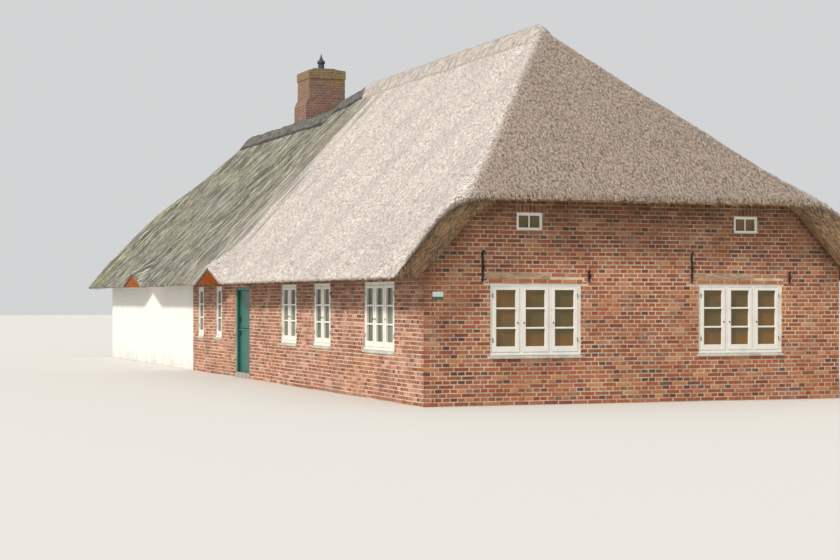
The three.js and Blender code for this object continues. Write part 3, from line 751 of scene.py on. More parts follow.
def eyebrow_rise(x, y):
    """How far the eyebrows lift the slope's surface."""
    rise = np.zeros_like(x)
    for low, high in EYEBROWS:
        middle, half = (low.y + high.y) / 2, (high.y - low.y) / 2 + EYEBROW_COVER
        height = high.z + EYEBROW_COVER - LIP_Z
        share = 1 - (x + EAVE_X) / EYEBROW_REACH - np.abs(y - middle) / half
        soft = 0.5 * (share + np.sqrt(share * share + 0.012))
        rise = np.maximum(rise, np.where(x < 0, height * np.where(share > -0.35, soft - 0.02, 0), 0))
    return np.maximum(rise, 0)


def eyebrow_hollow(x, y):
    """The height of the hollow under an eyebrow, or a very low value away from one."""
    hollow = np.full_like(x, -1.0)
    for low, high in EYEBROWS:
        middle, half = (low.y + high.y) / 2, (high.y - low.y) / 2
        height = SOFFIT_Z + (high.z - SOFFIT_Z) * (1 - np.abs(y - middle) / half)
        hollow = np.maximum(hollow, np.where(x < -WALL_X, height, -1.0))
    return hollow


def verge_rise(slope):
    """How much thicker the thatch is built at a verge, by the slope's height: nothing at the eave."""
    return VERGE_RISE * np.clip((slope - LIP_Z) / (FRONT_LIP - LIP_Z) / 0.5, 0, 1)


def hip_softness(x, y):
    """The hips' arrises are tight at the ridge and well rounded lower down."""
    share = np.clip((ridge_height(y) - slope_height(x, y)) / HIP_SOFTNESS_DROP, 0, 1)
    return HIP_SOFTNESS[0] + (HIP_SOFTNESS[1] - HIP_SOFTNESS[0]) * share


def outer_height(x, y):
    """The thatch's upper surface, as it is dressed."""
    slope = slope_height(x, y)
    near = np.clip(1 - (ROOF_Y - np.abs(y)) / VERGE_RISE_LENGTH, 0, 1)
    slope = slope + verge_rise(slope) * near * near * (3 - 2 * near)
    return soft_min(slope, hip_heights(y), hip_softness(x, y)) + eyebrow_rise(x, y)


def inner_height(x, y):
    """The thatch's underside: level over the walls' heads, hollow under the eyebrows."""
    level = np.where(y < 0, FRONT_LIP, REAR_LIP) - LIP
    under_hip = np.maximum(hip_heights(y) - THATCH_DEPTH, level)
    slope = slope_height(x, y)
    swell = np.where(np.abs(y) > WALL_Y + 0.008, VERGE_SWELL, 0.0)
    under = soft_min(slope - THATCH_DEPTH - swell, under_hip, 0.2)
    return np.maximum(np.maximum(under, SOFFIT_Z), eyebrow_hollow(x, y))


def verge_profile(share):
    """How far back a verge's cut face lies, from 0 at its upper edge to 1 at its foot: the upper coat
    overhangs a little, and the coat under it swells out again."""
    return np.interp(share, [0.0, 0.12, 0.3, 0.5, 0.75, 1.0], [0.0, 0.36, 0.3, 0.34, 0.55, 1.0])


def cut_share(top, under):
    """0 where the thatch is thin, 1 where its cut face is deep."""
    return np.clip((top - under - 0.06) / 0.3, 0, 1)


def hip_share(x, y):
    """0 on the long slopes, 1 on a hip."""
    return np.clip((slope_height(x, y) - hip_heights(y)) / 0.3 + 0.5, 0, 1)


def wander(points, size, seed):
    """Smooth noise in -1..1 at each point."""
    shift = Vector((seed * 13.7, seed * 5.3, seed * 9.1))
    return np.array([noise.noise(Vector(p) / size + shift) for p in points])


def swells(points):
    """The dressed surface's broad unevenness."""
    return wander(points, 0.9, 1) + 0.55 * wander(points, 0.34, 2)


def stations(low, high, step, fixed=(), fine_ends=(0.02, 0.06)):
    """Grid positions from low to high, closer together at the ends, with some held at fixed values."""
    count = max(2, round((high - low) / step))
    places = np.linspace(low, high, count + 1)
    for value in fixed:
        places = np.append(places[np.abs(places - value) > 0.3 * step], value)
    places = np.concatenate([places, list(fixed), [low, high]])
    extra = [low + e for e in fine_ends] + [high - e for e in fine_ends]
    return np.array(sorted(set(np.round(np.concatenate([places, extra]), 5))))


def roof_grid(xs, ys, hole=None):
    """A flat grid with these stations, made into a closed shell by an extrusion; returns the bmesh and
    its lower and upper vertices."""
    bm = bmesh.new()
    bmesh.ops.create_grid(bm, x_segments=len(xs) - 1, y_segments=len(ys) - 1, size=1.0)
    for vert in bm.verts:
        column = round((vert.co.x + 1) / 2 * (len(xs) - 1))
        row = round((vert.co.y + 1) / 2 * (len(ys) - 1))
        vert.co = (xs[column], ys[row], 0)
    if hole:
        low, high = hole
        inside = []
        for face in bm.faces:
            centre = face.calc_center_median()
            if low[0] < centre.x < high[0] and low[1] < centre.y < high[1]:
                inside.append(face)
        bmesh.ops.delete(bm, geom=inside, context="FACES")
    lower = list(bm.verts)
    sheet = bm.faces[:] + bm.edges[:] + bm.verts[:]
    out = bmesh.ops.extrude_face_region(bm, geom=sheet, use_keep_orig=True)
    upper = [item for item in out["geom"] if isinstance(item, bmesh.types.BMVert)]
    return bm, lower, upper


def thatch_shell(name, y0, y1, replaces, hole=None):
    """The thatch from y0 to y1 as one closed shell, with rounded hips and verges cut back underneath."""
    look = settings().thatch
    fixed_x = [-WALL_X, 0.0] + ([hole[0][0], hole[1][0]] if hole else [])
    fixed_y = [hole[0][1], hole[1][1]] if hole else []
    xs = stations(-EAVE_X, EAVE_X, look.cell, fixed_x, (0.012, 0.035))
    gables = [side for side in (-1, 1) if y0 < side * WALL_Y < y1]
    fixed_y += [side * (WALL_Y + step) for side in gables for step in (0.003, 0.013)]
    ys = stations(y0, y1, look.cell, fixed_y, (0.025, 0.06))
    bm, lower, upper = roof_grid(xs, ys, hole)

    plan = np.array([vert.co[:2] for vert in upper])
    x, y = plan[:, 0], plan[:, 1]
    z = outer_height(x, y)
    points = np.column_stack([x, y, z])
    uneven = swells(points) + 0.3 * wander(points, 0.16, 3)
    edge = np.minimum((EAVE_X - np.abs(x)) / 0.25, 1)
    z = z + look.unevenness * uneven * np.clip(edge, 0.15, 1)
    verge = np.clip(1 - (ROOF_Y - np.abs(y)) / 0.09, 0, 1)
    thick = np.clip((z - inner_height(x, y) - 0.05) / 0.3, 0, 1)
    z = z - 0.07 * thick * (1 - np.sqrt(1 - verge * verge * 0.98))
    for i, vert in enumerate(upper):
        vert.co.z = z[i]

    plan = np.array([vert.co[:2] for vert in lower])
    x, y = plan[:, 0], plan[:, 1]
    z = inner_height(x, y)
    thick = cut_share(outer_height(x, y), z)
    at_verge = np.abs(y) > ROOF_Y - 0.001
    back = np.where(at_verge, look.verge_setback * thick, 0)
    near_verge = (np.abs(y) <= ROOF_Y - 0.001) & (np.abs(y) > ROOF_Y - look.verge_setback)
    for i, vert in enumerate(lower):
        vert.co.z = z[i] + 0.004 * ((i * 7919) % 13 - 6) / 6
        if at_verge[i]:
            vert.co.y -= math.copysign(back[i], y[i])
        elif near_verge[i]:
            vert.co.y = math.copysign(ROOF_Y - look.verge_setback * thick[i] - 0.01, y[i])

    lower_set = set(lower)
    sides = [e for e in bm.edges if (e.verts[0] in lower_set) != (e.verts[1] in lower_set)]
    tall = [e for e in sides if abs(e.verts[0].co.z - e.verts[1].co.z) > 0.05]
    ends = lower_set | set(upper)
    bmesh.ops.subdivide_edges(bm, edges=tall, cuts=7, use_grid_fill=True)
    between = [v for v in bm.verts if v not in ends and abs(v.co.y) > ROOF_Y - look.verge_setback - 0.001]
    plan = np.array([vert.co[:2] for vert in between]).reshape(-1, 2)
    rim = np.sign(plan[:, 1]) * ROOF_Y
    reach = look.verge_setback * cut_share(outer_height(plan[:, 0], rim), inner_height(plan[:, 0], rim))
    share = np.clip((ROOF_Y - np.abs(plan[:, 1])) / np.maximum(reach, 0.0001), 0, 1)
    for i, vert in enumerate(between):
        if abs(plan[i, 0]) < EAVE_X - 0.001:
            vert.co.y = math.copysign(ROOF_Y - reach[i] * verge_profile(share[i]), plan[i, 1])
    bmesh.ops.recalc_face_normals(bm, faces=bm.faces[:])

    for layer in ("hip", "cut", "deep"):
        bm.verts.layers.float.new(layer)
    coords = np.array([vert.co[:] for vert in bm.verts])
    depth = outer_height(coords[:, 0], coords[:, 1]) - coords[:, 2]
    values = {
        "hip": hip_share(coords[:, 0], coords[:, 1]),
        "cut": np.clip((depth - 0.035) / 0.05, 0, 1),
        "deep": np.clip(depth / 0.5, 0, 1),
    }
    for key, shares in values.items():
        layer = bm.verts.layers.float[key]
        for i, vert in enumerate(bm.verts):
            vert[layer] = shares[i]
    finish_piece(name, bm, thatch_material(), replaces=replaces, smooth=True)


def stalks(points, directions, lengths, widths, rng):
    """Corners of thin three-sided spikes, each from its point along its direction."""
    count = len(points)
    directions = directions / np.linalg.norm(directions, axis=1)[:, None]
    helper = rng.normal(size=(count, 3))
    side = np.cross(directions, helper)
    side /= np.linalg.norm(side, axis=1)[:, None]
    other = np.cross(directions, side)
    corners = np.empty((count, 4, 3))
    for k in range(3):
        angle = 2 * math.pi * k / 3
        spread = side * math.cos(angle) + other * math.sin(angle)
        corners[:, k] = points + spread * (widths / 2)[:, None]
    corners[:, 3] = points + directions * lengths[:, None]
    return corners


STALK_FACES = [(0, 2, 1), (0, 1, 3), (1, 2, 3), (2, 0, 3)]


def stalk_piece(name, points, directions, lengths, widths, kind, rng):
    """One piece of loose reed ends, each with its own tone."""
    corners = stalks(points, directions, lengths, widths, rng)
    tone = np.repeat(rng.random(len(points)) ** 1.2, 4)
    mesh = joined_mesh(name, corners, STALK_FACES, {"tone": tone})
    place_piece(name, mesh, stalk_material(kind))


def surface_stalks(name, y0, y1, rng):
    """Loose reed ends lying down the slopes, their tips a little lifted."""
    look = settings().thatch
    area = 2 * EAVE_X * (y1 - y0)
    count = int(area * look.stalks_per_metre * 1.4)
    x = rng.uniform(-EAVE_X + 0.03, EAVE_X - 0.03, count)
    y = rng.uniform(y0 + 0.03, y1 - 0.03, count)
    on_stack = (x > STACK_LOW.x - 0.05) & (x < STACK_HIGH.x + 0.05)
    on_stack &= (y > STACK_LOW.y - 0.05) & (y < STACK_HIGH.y + 0.05)
    x, y = x[~on_stack], y[~on_stack]
    z = outer_height(x, y)
    step = 0.05
    slope_x = (outer_height(x + step, y) - outer_height(x - step, y)) / (2 * step)
    slope_y = (outer_height(x, y + step) - outer_height(x, y - step)) / (2 * step)
    downhill = np.column_stack([-slope_x, -slope_y, -(slope_x**2 + slope_y**2)])
    normal = np.column_stack([-slope_x, -slope_y, np.ones_like(x)])
    normal /= np.linalg.norm(normal, axis=1)[:, None]
    downhill /= np.linalg.norm(downhill, axis=1)[:, None]
    directions = downhill + 0.3 * normal + rng.normal(scale=0.3, size=(len(x), 3))
    points = np.column_stack([x, y, z]) - 0.004 * normal
    points[:, 2] += look.unevenness * swells(points)
    lengths = rng.uniform(0.018, 0.05, len(x))
    widths = look.stalk_width * rng.uniform(0.7, 1.5, len(x))
    stalk_piece(name, points, directions, lengths, widths, "weathered", rng)


def eave_fringe(name, y0, y1, rng):
    """Reed ends along both long eaves."""
    look = settings().thatch
    per_side = int((y1 - y0) / look.fringe_spacing * 2.2)
    count = 2 * per_side
    side = np.where(np.arange(count) % 2 == 0, -1.0, 1.0)
    y = rng.uniform(y0 + 0.01, y1 - 0.01, count)
    x = side * (EAVE_X - rng.uniform(0.0, 0.05, count))
    top, under = outer_height(x, y), inner_height(x, y)
    z = under + (top - under) * rng.random(count)
    along = rng.normal(scale=0.22, size=count)
    directions = np.column_stack([side, along, -1.0 + rng.normal(scale=0.2, size=count)])
    lengths = rng.uniform(0.02, 0.06, count)
    widths = look.stalk_width * rng.uniform(0.7, 1.3, count)
    points = np.column_stack([x, y, z])
    stalk_piece(name, points, directions, lengths, widths, "weathered", rng)


def verge_fringe(name, end, rng):
    """Reed ends standing out of a gable's verges and half-hip."""
    look = settings().thatch
    count = int(2 * EAVE_X / look.fringe_spacing * 12)
    x = rng.uniform(-EAVE_X + 0.01, EAVE_X - 0.01, count)
    y = np.full(count, end * (ROOF_Y - 0.002))
    top, under = outer_height(x, y), inner_height(x, y)
    share = rng.random(count)
    thick = cut_share(top, under)
    z = top - 0.02 * thick - (top - under - 0.02 * thick) * share
    y = y - end * look.verge_setback * thick * verge_profile(share)
    keep = rng.random(count) < 0.12 + thick
    lean = np.sign(x) * 0.8 * thick
    directions = np.column_stack(
        [
            lean + rng.normal(scale=0.3, size=count),
            end * (1.0 - 0.3 * thick),
            -0.75 - 0.15 * thick + rng.normal(scale=0.3, size=count),
        ]
    )
    points = np.column_stack([x, y - end * 0.008, z])[keep]
    lengths = rng.uniform(0.04, 0.11, count)[keep]
    widths = look.stalk_width * rng.uniform(0.6, 1.3, count)[keep]
    stalk_piece(name, points, directions[keep], lengths, widths, "cut", rng)


def ridge_capping(name, y0, y1, old, replaces, hole=None):
    """A saddle of sedge over the ridge, with a thick lower edge on each side."""
    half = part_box(replaces[0])[1].x
    ys = stations(y0, y1, 0.07, [hole[0][1], hole[1][1]] if hole else [], (0.02, 0.05))
    xs = stations(-half, half, 0.045, [0.0] + ([hole[0][0]] if hole else []), (0.01, 0.025))
    if hole:
        hole = (hole[0], (half + 1, hole[1][1]))
    bm, lower, upper = roof_grid(xs, ys, hole)
    lump = 0.03 if old else 0.012
    for verts, top in ((upper, True), (lower, False)):
        plan = np.array([vert.co[:2] for vert in verts])
        x, y = plan[:, 0], plan[:, 1]
        ground = outer_height(x, y)
        if top:
            share = np.abs(x) / half
            ground = ground - 0.045 * np.exp(-((x / 0.07) ** 2))
            cover = 0.12 - (0.06 if old else 0.075) * share
            edge = np.clip((half - np.abs(x)) / 0.03, 0, 1)
            cover = cover * (0.35 + 0.65 * np.sqrt(edge))
            points = np.column_stack([x, y, ground])
            cover = cover + lump * (wander(points, 0.5, 4) + 0.6 * wander(points, 0.17, 5))
            open_end = y1 - y if old else y - y0
            cover = cover * np.clip(0.25 + 0.75 * np.sqrt(np.clip(open_end / 0.16, 0, 1)), 0, 1)
        else:
            cover = np.full_like(x, -0.05)
        for i, vert in enumerate(verts):
            vert.co.z = ground[i] + cover[i]
    bmesh.ops.recalc_face_normals(bm, faces=bm.faces[:])
    # Marks the lower edges, which the ridge's material paints with shade.
    cut_layer = bm.verts.layers.float.new("cut")
    for vert in bm.verts:
        vert[cut_layer] = 1.0 if abs(vert.co.x) > half - 0.02 else 0.0
    finish_piece(name, bm, ridge_material(), replaces=replaces, smooth=True)


# Brickwork

BRICK_FACES = [
    (8, 9, 10, 11),
    (4, 5, 9, 8),
    (5, 6, 10, 9),
    (6, 7, 11, 10),
    (7, 4, 8, 11),
    (0, 1, 5, 4),
    (1, 2, 6, 5),
    (2, 3, 7, 6),
    (3, 0, 4, 7),
    (3, 2, 1, 0),
]


def cut_spans(spans, low, high):
    """Spans with the stretch from low to high taken out."""
    kept = []
    for a, b in spans:
        if high <= a or low >= b:
            kept.append((a, b))
            continue
        if low - a > LEAST_LENGTH:
            kept.append((a, low))
        if b - high > LEAST_LENGTH:
            kept.append((high, b))
    return kept


def course_spans(course, corner, toward, low, high):
    """The bricks of one course from a corner: stretchers, or a header, a closer and then headers. Toward
    is 1 where the corner is at the low end, and -1 where it is at the high end."""
    look = settings().bricks
    pitch = look.header + look.joint
    if course % 2:
        first = [(0.0, look.header), (pitch, 1.5 * pitch - look.joint)]
        start, unit, length = 1.5 * pitch, pitch, look.header
    elif course % 4:
        first = [(0.0, look.length), (2 * pitch, 2 * pitch + look.header)]
        start, unit, length = 3 * pitch, 2 * pitch, look.length
    else:
        first = []
        start, unit, length = 0.0, 2 * pitch, look.length
    reach = high - corner if toward > 0 else corner - low
    count = int(reach / unit) + 1
    spans = first + [(start + i * unit, start + i * unit + length) for i in range(count)]
    spans = [sorted((corner + toward * a, corner + toward * b)) for a, b in spans]
    spans = [(max(a, low), min(b, high)) for a, b in spans]
    return [(a, b) for a, b in spans if b - a > LEAST_LENGTH]


def lay_wall(limits, base, top, openings, rng, burnt_share, toward=1):
    """English cross bond between two limits, given at each height as the low and the high end. Returns
    rows of (u0, u1, z0, z1, tone, burnt)."""
    look = settings().bricks
    pitch = look.height + look.joint
    corner = limits(base)[0 if toward > 0 else 1]
    bricks = []
    for course in range(int(base / pitch), int(top / pitch) + 1):
        z0 = course * pitch + look.joint / 2
        z1 = min(z0 + look.height, top)
        if z1 - z0 < LEAST_HEIGHT:
            continue
        low, high = limits((z0 + z1) / 2)
        for span in course_spans(course, corner, toward, low, high):
            spans = [span]
            b0, b1 = z0, z1
            for u0, u1, o0, o1 in openings:
                if b1 <= o0 or b0 >= o1 or not spans or spans[-1][1] <= u0 or spans[0][0] >= u1:
                    continue
                if (b0 + b1) / 2 < o0:
                    b1 = min(b1, o0)
                elif (b0 + b1) / 2 > o1:
                    b0 = max(b0, o1)
                else:
                    spans = cut_spans(spans, u0, u1)
            if b1 - b0 < LEAST_HEIGHT:
                continue
            for s0, s1 in spans:
                tone = min(1.0, max(0.0, rng.gauss(0.5, 0.26)))
                share = burnt_share * 2.2 if course % 2 else burnt_share * 0.3
                burnt = rng.uniform(0.5, 1.0) if rng.random() < share else 0.0
                bricks.append((s0, s1, b0, b1, tone, burnt))
    return bricks


def brick_corners(bricks, proud, chamfer, rng):
    """Corners of each brick in its wall's plane: u along it, d out of it, z up. The courses wander a few
    millimetres, as hand-laid ones do."""
    rows = np.array([b[:4] for b in bricks])
    rows = rows + rng.uniform(-0.0018, 0.0018, rows.shape)
    u0, u1, z0, z1 = rows.T
    middle = (u0 + u1) / 2
    sway = 0.0025 * np.sin(1.9 * middle + 3.0 * z0) + 0.002 * np.sin(0.7 * middle - 5.0 * z0)
    z0, z1 = z0 + sway, z1 + sway
    depth = proud * rng.uniform(0.7, 1.15, len(rows))
    corners = np.empty((len(rows), 12, 3))
    rings = [(0.0, np.full(len(rows), -0.004)), (0.0, depth * 0.35), (chamfer, depth)]
    for ring, (inset, level) in enumerate(rings):
        for k, (u, z) in enumerate([(u0, z0), (u1, z0), (u1, z1), (u0, z1)]):
            corners[:, ring * 4 + k, 0] = u + inset * (1 if k in (0, 3) else -1)
            corners[:, ring * 4 + k, 1] = level
            corners[:, ring * 4 + k, 2] = z + inset * (1 if k in (0, 1) else -1)
    tilt = rng.normal(scale=0.001, size=(len(rows), 1))
    corners[:, 8:, 1] += tilt * np.array([1, -1, -1, 1])
    return corners


def shoulder_matrix():
    """The sloping top of the chimney's foot, which faces west and up."""
    run, rise = STACK_NECK_X - STACK_LOW.x, STACK_SHOULDER[1] - STACK_SHOULDER[0]
    turn = Matrix.Rotation(math.atan2(run, rise), 4, "Y")
    west = Matrix(((0, -1, 0, 0), (-1, 0, 0, 0), (0, 0, 1, 0), (0, 0, 0, 1)))
    return Matrix.Translation((STACK_LOW.x, 0, STACK_SHOULDER[0])) @ turn @ west


def wall_matrix(facing, level):
    """From a wall's own plane (u, d, z) to the house: facing is the way that the wall looks."""
    return {
        "front": Matrix(((1, 0, 0, 0), (0, -1, 0, level), (0, 0, 1, 0), (0, 0, 0, 1))),
        "rear": Matrix(((-1, 0, 0, 0), (0, 1, 0, level), (0, 0, 1, 0), (0, 0, 0, 1))),
        "west": Matrix(((0, -1, 0, level), (-1, 0, 0, 0), (0, 0, 1, 0), (0, 0, 0, 1))),
        "east": Matrix(((0, 1, 0, level), (1, 0, 0, 0), (0, 0, 1, 0), (0, 0, 0, 1))),
        "shoulder": shoulder_matrix(),
    }[facing]


def plane_u(facing, low, high):
    """The stretch along a wall's own u axis that a box covers."""
    if facing == "front":
        return low.x, high.x
    if facing == "rear":
        return -high.x, -low.x
    if facing == "west":
        return -high.y, -low.y
    return low.y, high.y


def brick_piece(name, parts, material, proud, seed):
    """One piece of joined bricks; parts are (facing, level, bricks)."""
    look = settings().bricks
    rng = np.random.default_rng(seed)
    all_corners, tones, burnt = [], [], []
    for facing, level, bricks in parts:
        corners = brick_corners(bricks, proud, look.chamfer, rng)
        matrix = np.array(wall_matrix(facing, level))
        corners = corners @ matrix[:3, :3].T + matrix[:3, 3]
        if np.linalg.det(matrix[:3, :3]) < 0:
            corners = corners[:, [3, 2, 1, 0, 7, 6, 5, 4, 11, 10, 9, 8]]
        all_corners.append(corners)
        tones += [b[4] for b in bricks]
        burnt += [b[5] for b in bricks]
    edge = np.tile([1, 1, 1, 1, 1, 1, 1, 1, 0, 0, 0, 0], len(tones))
    plan = np.abs(np.concatenate(all_corners).reshape(-1, 3))
    edge[(plan[:, 0] > WALL_X - 0.006) & (plan[:, 1] > WALL_Y - 0.006)] = 0
    values = {"tone": np.repeat(tones, 12), "burnt": np.repeat(burnt, 12), "edge": edge}
    mesh = joined_mesh(name, np.concatenate(all_corners), BRICK_FACES, values)
    bm = bmesh.new()
    bm.from_mesh(mesh)
    bmesh.ops.recalc_face_normals(bm, faces=bm.faces[:])
    bm.to_mesh(mesh)
    bm.free()
    place_piece(name, mesh, material)


def window_names():
    return sorted(n[: -len("_glass")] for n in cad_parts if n.endswith("_glass"))


def facing_of(name):
    """The way that a window looks. The attic's are in the front gable."""
    word = name.split("_")[0]
    return "front" if word == "attic" else word


def gable_windows(attic):
    """The boxes of the front gable's windows: the small attic ones, or the big ones below."""
    names = [name for name in window_names() if facing_of(name) == "front"]
    return [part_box(name) for name in names if name.startswith("attic") == attic]


def wall_openings(facing):
    """What is left out of a wall's bricks, in its own plane: windows, the door, sills and lintels."""
    found = []
    for name in window_names():
        if facing_of(name) != facing:
            continue
        low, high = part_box(name)
        u0, u1 = plane_u(facing, low, high)
        small = name.startswith("attic")
        sill = 0.0 if small else SILL["height"]
        found.append((u0, u1, low.z - sill, high.z))
        if facing == "front" and not small:
            split = u0 + (u1 - u0) * LINTEL["timber"]
            found.append((u0 - LINTEL["bearing"], split, high.z + LINTEL["course"], LINTEL["top"]))
            reach = LINTEL["course_bearing"]
            found.append((u0 - reach, u1 + reach, high.z, high.z + LINTEL["course"]))
        if small:
            reach = SOLDIERS["reach"]
            found.append((u0 - reach, u1 + reach, high.z, high.z + SOLDIERS["height"]))
    if facing == "west":
        head_low, head_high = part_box("door_head")
        u0, u1 = plane_u(facing, head_low, head_high)
        found.append((u0, u1, 0.0, head_high.z))
    return found


def gable_limits(y):
    """How wide a gable wall is at a height, under the thatch."""

    def limits(z):
        slope = z + THATCH_DEPTH
        reach = EAVE_X * (1 - (slope - LIP_Z) / (ridge_height(np.float64(y)) - LIP_Z))
        edge = float(min(WALL_X + 0.006, reach + 0.06))
        return -edge, edge

    return limits


def full_limits(low, high):
    """A wall's ends, the same at every height."""
    return lambda z: (low, high)


class COTTAGE_OT_bricks(bpy.types.Operator):
    """Lay the bricks of the dwelling, the limewashed barn and the chimney"""

    bl_idname = "cottage.bricks"
    bl_label = "Brickwork"

    def execute(self, context):
        look = context.scene.cottage.bricks
        rng = random.Random(SEED)
        corner = look.proud
        soffit = float(inner_height(np.array([-WALL_X]), np.array([0.0]))[0])
        hip_top = FRONT_LIP - LIP + 0.02

        share = BURNT["gable"]
        gable = lay_wall(gable_limits(-WALL_Y), 0.0, hip_top, wall_openings("front"), rng, share)
        gable = [brick for brick in gable + soldier_courses() if brick[1] - brick[0] > 0.02]
        parts = [("front", -WALL_Y, gable)]
        brick_piece("bricks_front_gable", parts, brick_material("gable"), look.proud, 1)

        share = BURNT["long_wall"]
        dwelling = full_limits(-BARN_Y, WALL_Y + corner)
        west = lay_wall(dwelling, 0.0, soffit, wall_openings("west"), rng, share, -1)
        parts = [("west", -WALL_X, west)]
        brick_piece("bricks_west", parts, brick_material("long_wall"), look.proud, 2)
        dwelling = full_limits(-WALL_Y - corner, BARN_Y)
        east = lay_wall(dwelling, 0.0, soffit, wall_openings("east"), rng, share)
        parts = [("east", WALL_X, east)]
        brick_piece("bricks_east", parts, brick_material("long_wall"), look.proud, 3)

        thin = look.proud * 0.55
        west = lay_wall(full_limits(-WALL_Y - thin, -BARN_Y), 0.0, soffit, [], rng, 0)
        east = lay_wall(full_limits(BARN_Y, WALL_Y + thin), 0.0, soffit, [], rng, 0)
        parts = [("west", -WALL_X, west), ("east", WALL_X, east)]
        brick_piece("limewashed_bricks_sides", parts, limewash_material(), thin, 4)
        rear = lay_wall(gable_limits(WALL_Y), 0.0, REAR_LIP - LIP, wall_openings("rear"), rng, 0)
        parts = [("rear", WALL_Y, rear)]
        brick_piece("limewashed_bricks_rear", parts, limewash_material(), thin, 5)

        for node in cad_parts:
            if node.endswith("_wall") or "_wall_" in node:
                lime = node.endswith("_barn") or node.startswith("rear")
                dress_node(node, limewash_material() if lime else mortar_material("wall"))
        return {"FINISHED"}


def soldier_courses():
    """Bricks on end over the attic windows, and the flat course over the gable's big windows."""
    look = settings().bricks
    rng = random.Random(SEED + 1)
    rows = []
    for low, high in gable_windows(attic=True):
        start, end = low.x - SOLDIERS["reach"], high.x + SOLDIERS["reach"]
        rows.append((start, end, high.z + look.joint / 2, high.z + SOLDIERS["height"], look.height))
    for low, high in gable_windows(attic=False):
        top = high.z + LINTEL["course"] - 0.006
        rows.append((low.x - 0.03, high.x + 0.03, high.z + 0.004, top, look.length))
    bricks = []
    for start, end, z0, z1, length in rows:
        while start + 0.03 < end:
            stop = min(start + length, end)
            bricks.append((start, stop, z0, z1, rng.uniform(0.45, 1.0), 0.0))
            start = stop + look.joint
    return bricks


class COTTAGE_OT_chimney(bpy.types.Operator):
    """Build the chimney's brickwork, its mossy crown and its cowl"""

    bl_idname = "cottage.chimney"
    bl_label = "Chimney"

    def execute(self, context):
        look = context.scene.cottage.bricks
        rng = random.Random(SEED + 2)

        def near_limits(z):
            slant = (z - STACK_SHOULDER[0]) / (STACK_SHOULDER[1] - STACK_SHOULDER[0])
            west = STACK_LOW.x + (STACK_NECK_X - STACK_LOW.x) * min(1, max(0, slant))
            return west - look.proud, STACK_HIGH.x + look.proud

        def far_limits(z):
            west, east = near_limits(z)
            return -east, -west

        top = STACK_HIGH.z
        east_side = full_limits(STACK_LOW.y, STACK_HIGH.y)
        west_side = full_limits(-STACK_HIGH.y, -STACK_LOW.y)
        slope = math.hypot(STACK_NECK_X - STACK_LOW.x, STACK_SHOULDER[1] - STACK_SHOULDER[0])
        faces = [
            ("front", STACK_LOW.y, near_limits, STACK_BASE, top, BURNT["stack"]),
            ("rear", STACK_HIGH.y, far_limits, STACK_BASE, top, BURNT["stack"]),
            ("east", STACK_HIGH.x, east_side, STACK_BASE, top, BURNT["stack"]),
            ("west", STACK_LOW.x, west_side, STACK_BASE, STACK_SHOULDER[0], BURNT["stack"]),
            ("west", STACK_NECK_X, west_side, STACK_SHOULDER[1], top, BURNT["stack"]),
            ("shoulder", 0, west_side, 0.0, slope, BURNT["stack"]),
        ]

        crown_low, crown_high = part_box("chimney_crown")
        bed = crown_high.z - CROWN["bed"]
        west, east = STACK_NECK_X - CROWN["overhang"], STACK_HIGH.x + CROWN["overhang"]
        near, far = STACK_LOW.y - CROWN["overhang"], STACK_HIGH.y + CROWN["overhang"]
        for facing, level, low, high in (
            ("front", near, west, east),
            ("rear", far, -east, -west),
            ("east", east, near, far),
            ("west", west, -far, -near),
        ):
            limits = full_limits(low - look.proud, high + look.proud)
            faces.append((facing, level, limits, crown_low.z, bed, BURNT["crown"]))
        parts = []
        for facing, level, limits, low, high, share in faces:
            parts.append((facing, level, lay_wall(limits, low, high, [], rng, share)))
        parts = [part for part in parts if part[2]]
        brick_piece("bricks_chimney", parts, brick_material("chimney"), look.proud, 6)
        dress_node("chimney_stack", mortar_material("chimney"))
        core = bmesh.new()
        add_block(core, (west, near, crown_low.z), (east, far, bed))
        finish_piece("crown_core", core, mortar_material("chimney"), replaces=["chimney_crown"])

        mound = bmesh.new()
        low, high = (west, near, bed - 0.004), (east, far, crown_high.z + CROWN["mound"])
        for vert in add_block(mound, low, high, 0.018, segments=2):
            if vert.co.z > bed + 0.03:
                vert.co.x += ((west + east) / 2 - vert.co.x) * CROWN["draw_in"]
                vert.co.y += ((near + far) / 2 - vert.co.y) * CROWN["draw_in"]
        finish_piece("chimney_flaunching", mound, moss_material())

        cowl_low, cowl_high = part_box("chimney_cowl")
        self.add_cowl(cowl_low, cowl_high)
        return {"FINISHED"}

    def add_cowl(self, low, high):
        """A spun zinc cowl: a pot with rings, a rain cap and a finial."""
        centre = (low + high) / 2
        radius = (high.x - low.x) / 2
        height = high.z - low.z
        profile = [
            (0.0, 0.0),
            (0.86, 0.0),
            (0.86, 0.04),
            (0.76, 0.06),
            (0.76, 0.38),
            (0.84, 0.4),
            (1.0, 0.43),
            (1.0, 0.53),
            (0.8, 0.58),
            (0.5, 0.63),
            (0.4, 0.69),
            (0.42, 0.72),
            (0.3, 0.76),
            (0.16, 0.8),
            (0.22, 0.85),
            (0.12, 0.91),
            (0.0, 1.0),
        ]
        bm = bmesh.new()
        ring = [bm.verts.new((centre.x + r * radius, centre.y, low.z + z * height)) for r, z in profile]
        edges = [bm.edges.new(pair) for pair in zip(ring, ring[1:])]
        bmesh.ops.spin(
            bm,
            geom=ring + edges,
            cent=(centre.x, centre.y, 0),
            axis=(0, 0, 1),
            angle=2 * math.pi,
            steps=40,
            use_merge=True,
        )
        bmesh.ops.remove_doubles(bm, verts=bm.verts[:], dist=0.0005)
        bmesh.ops.recalc_face_normals(bm, faces=bm.faces[:])
        finish_piece("zinc_cowl", bm, metal_material("weathered_zinc"), replaces=["chimney_cowl"])


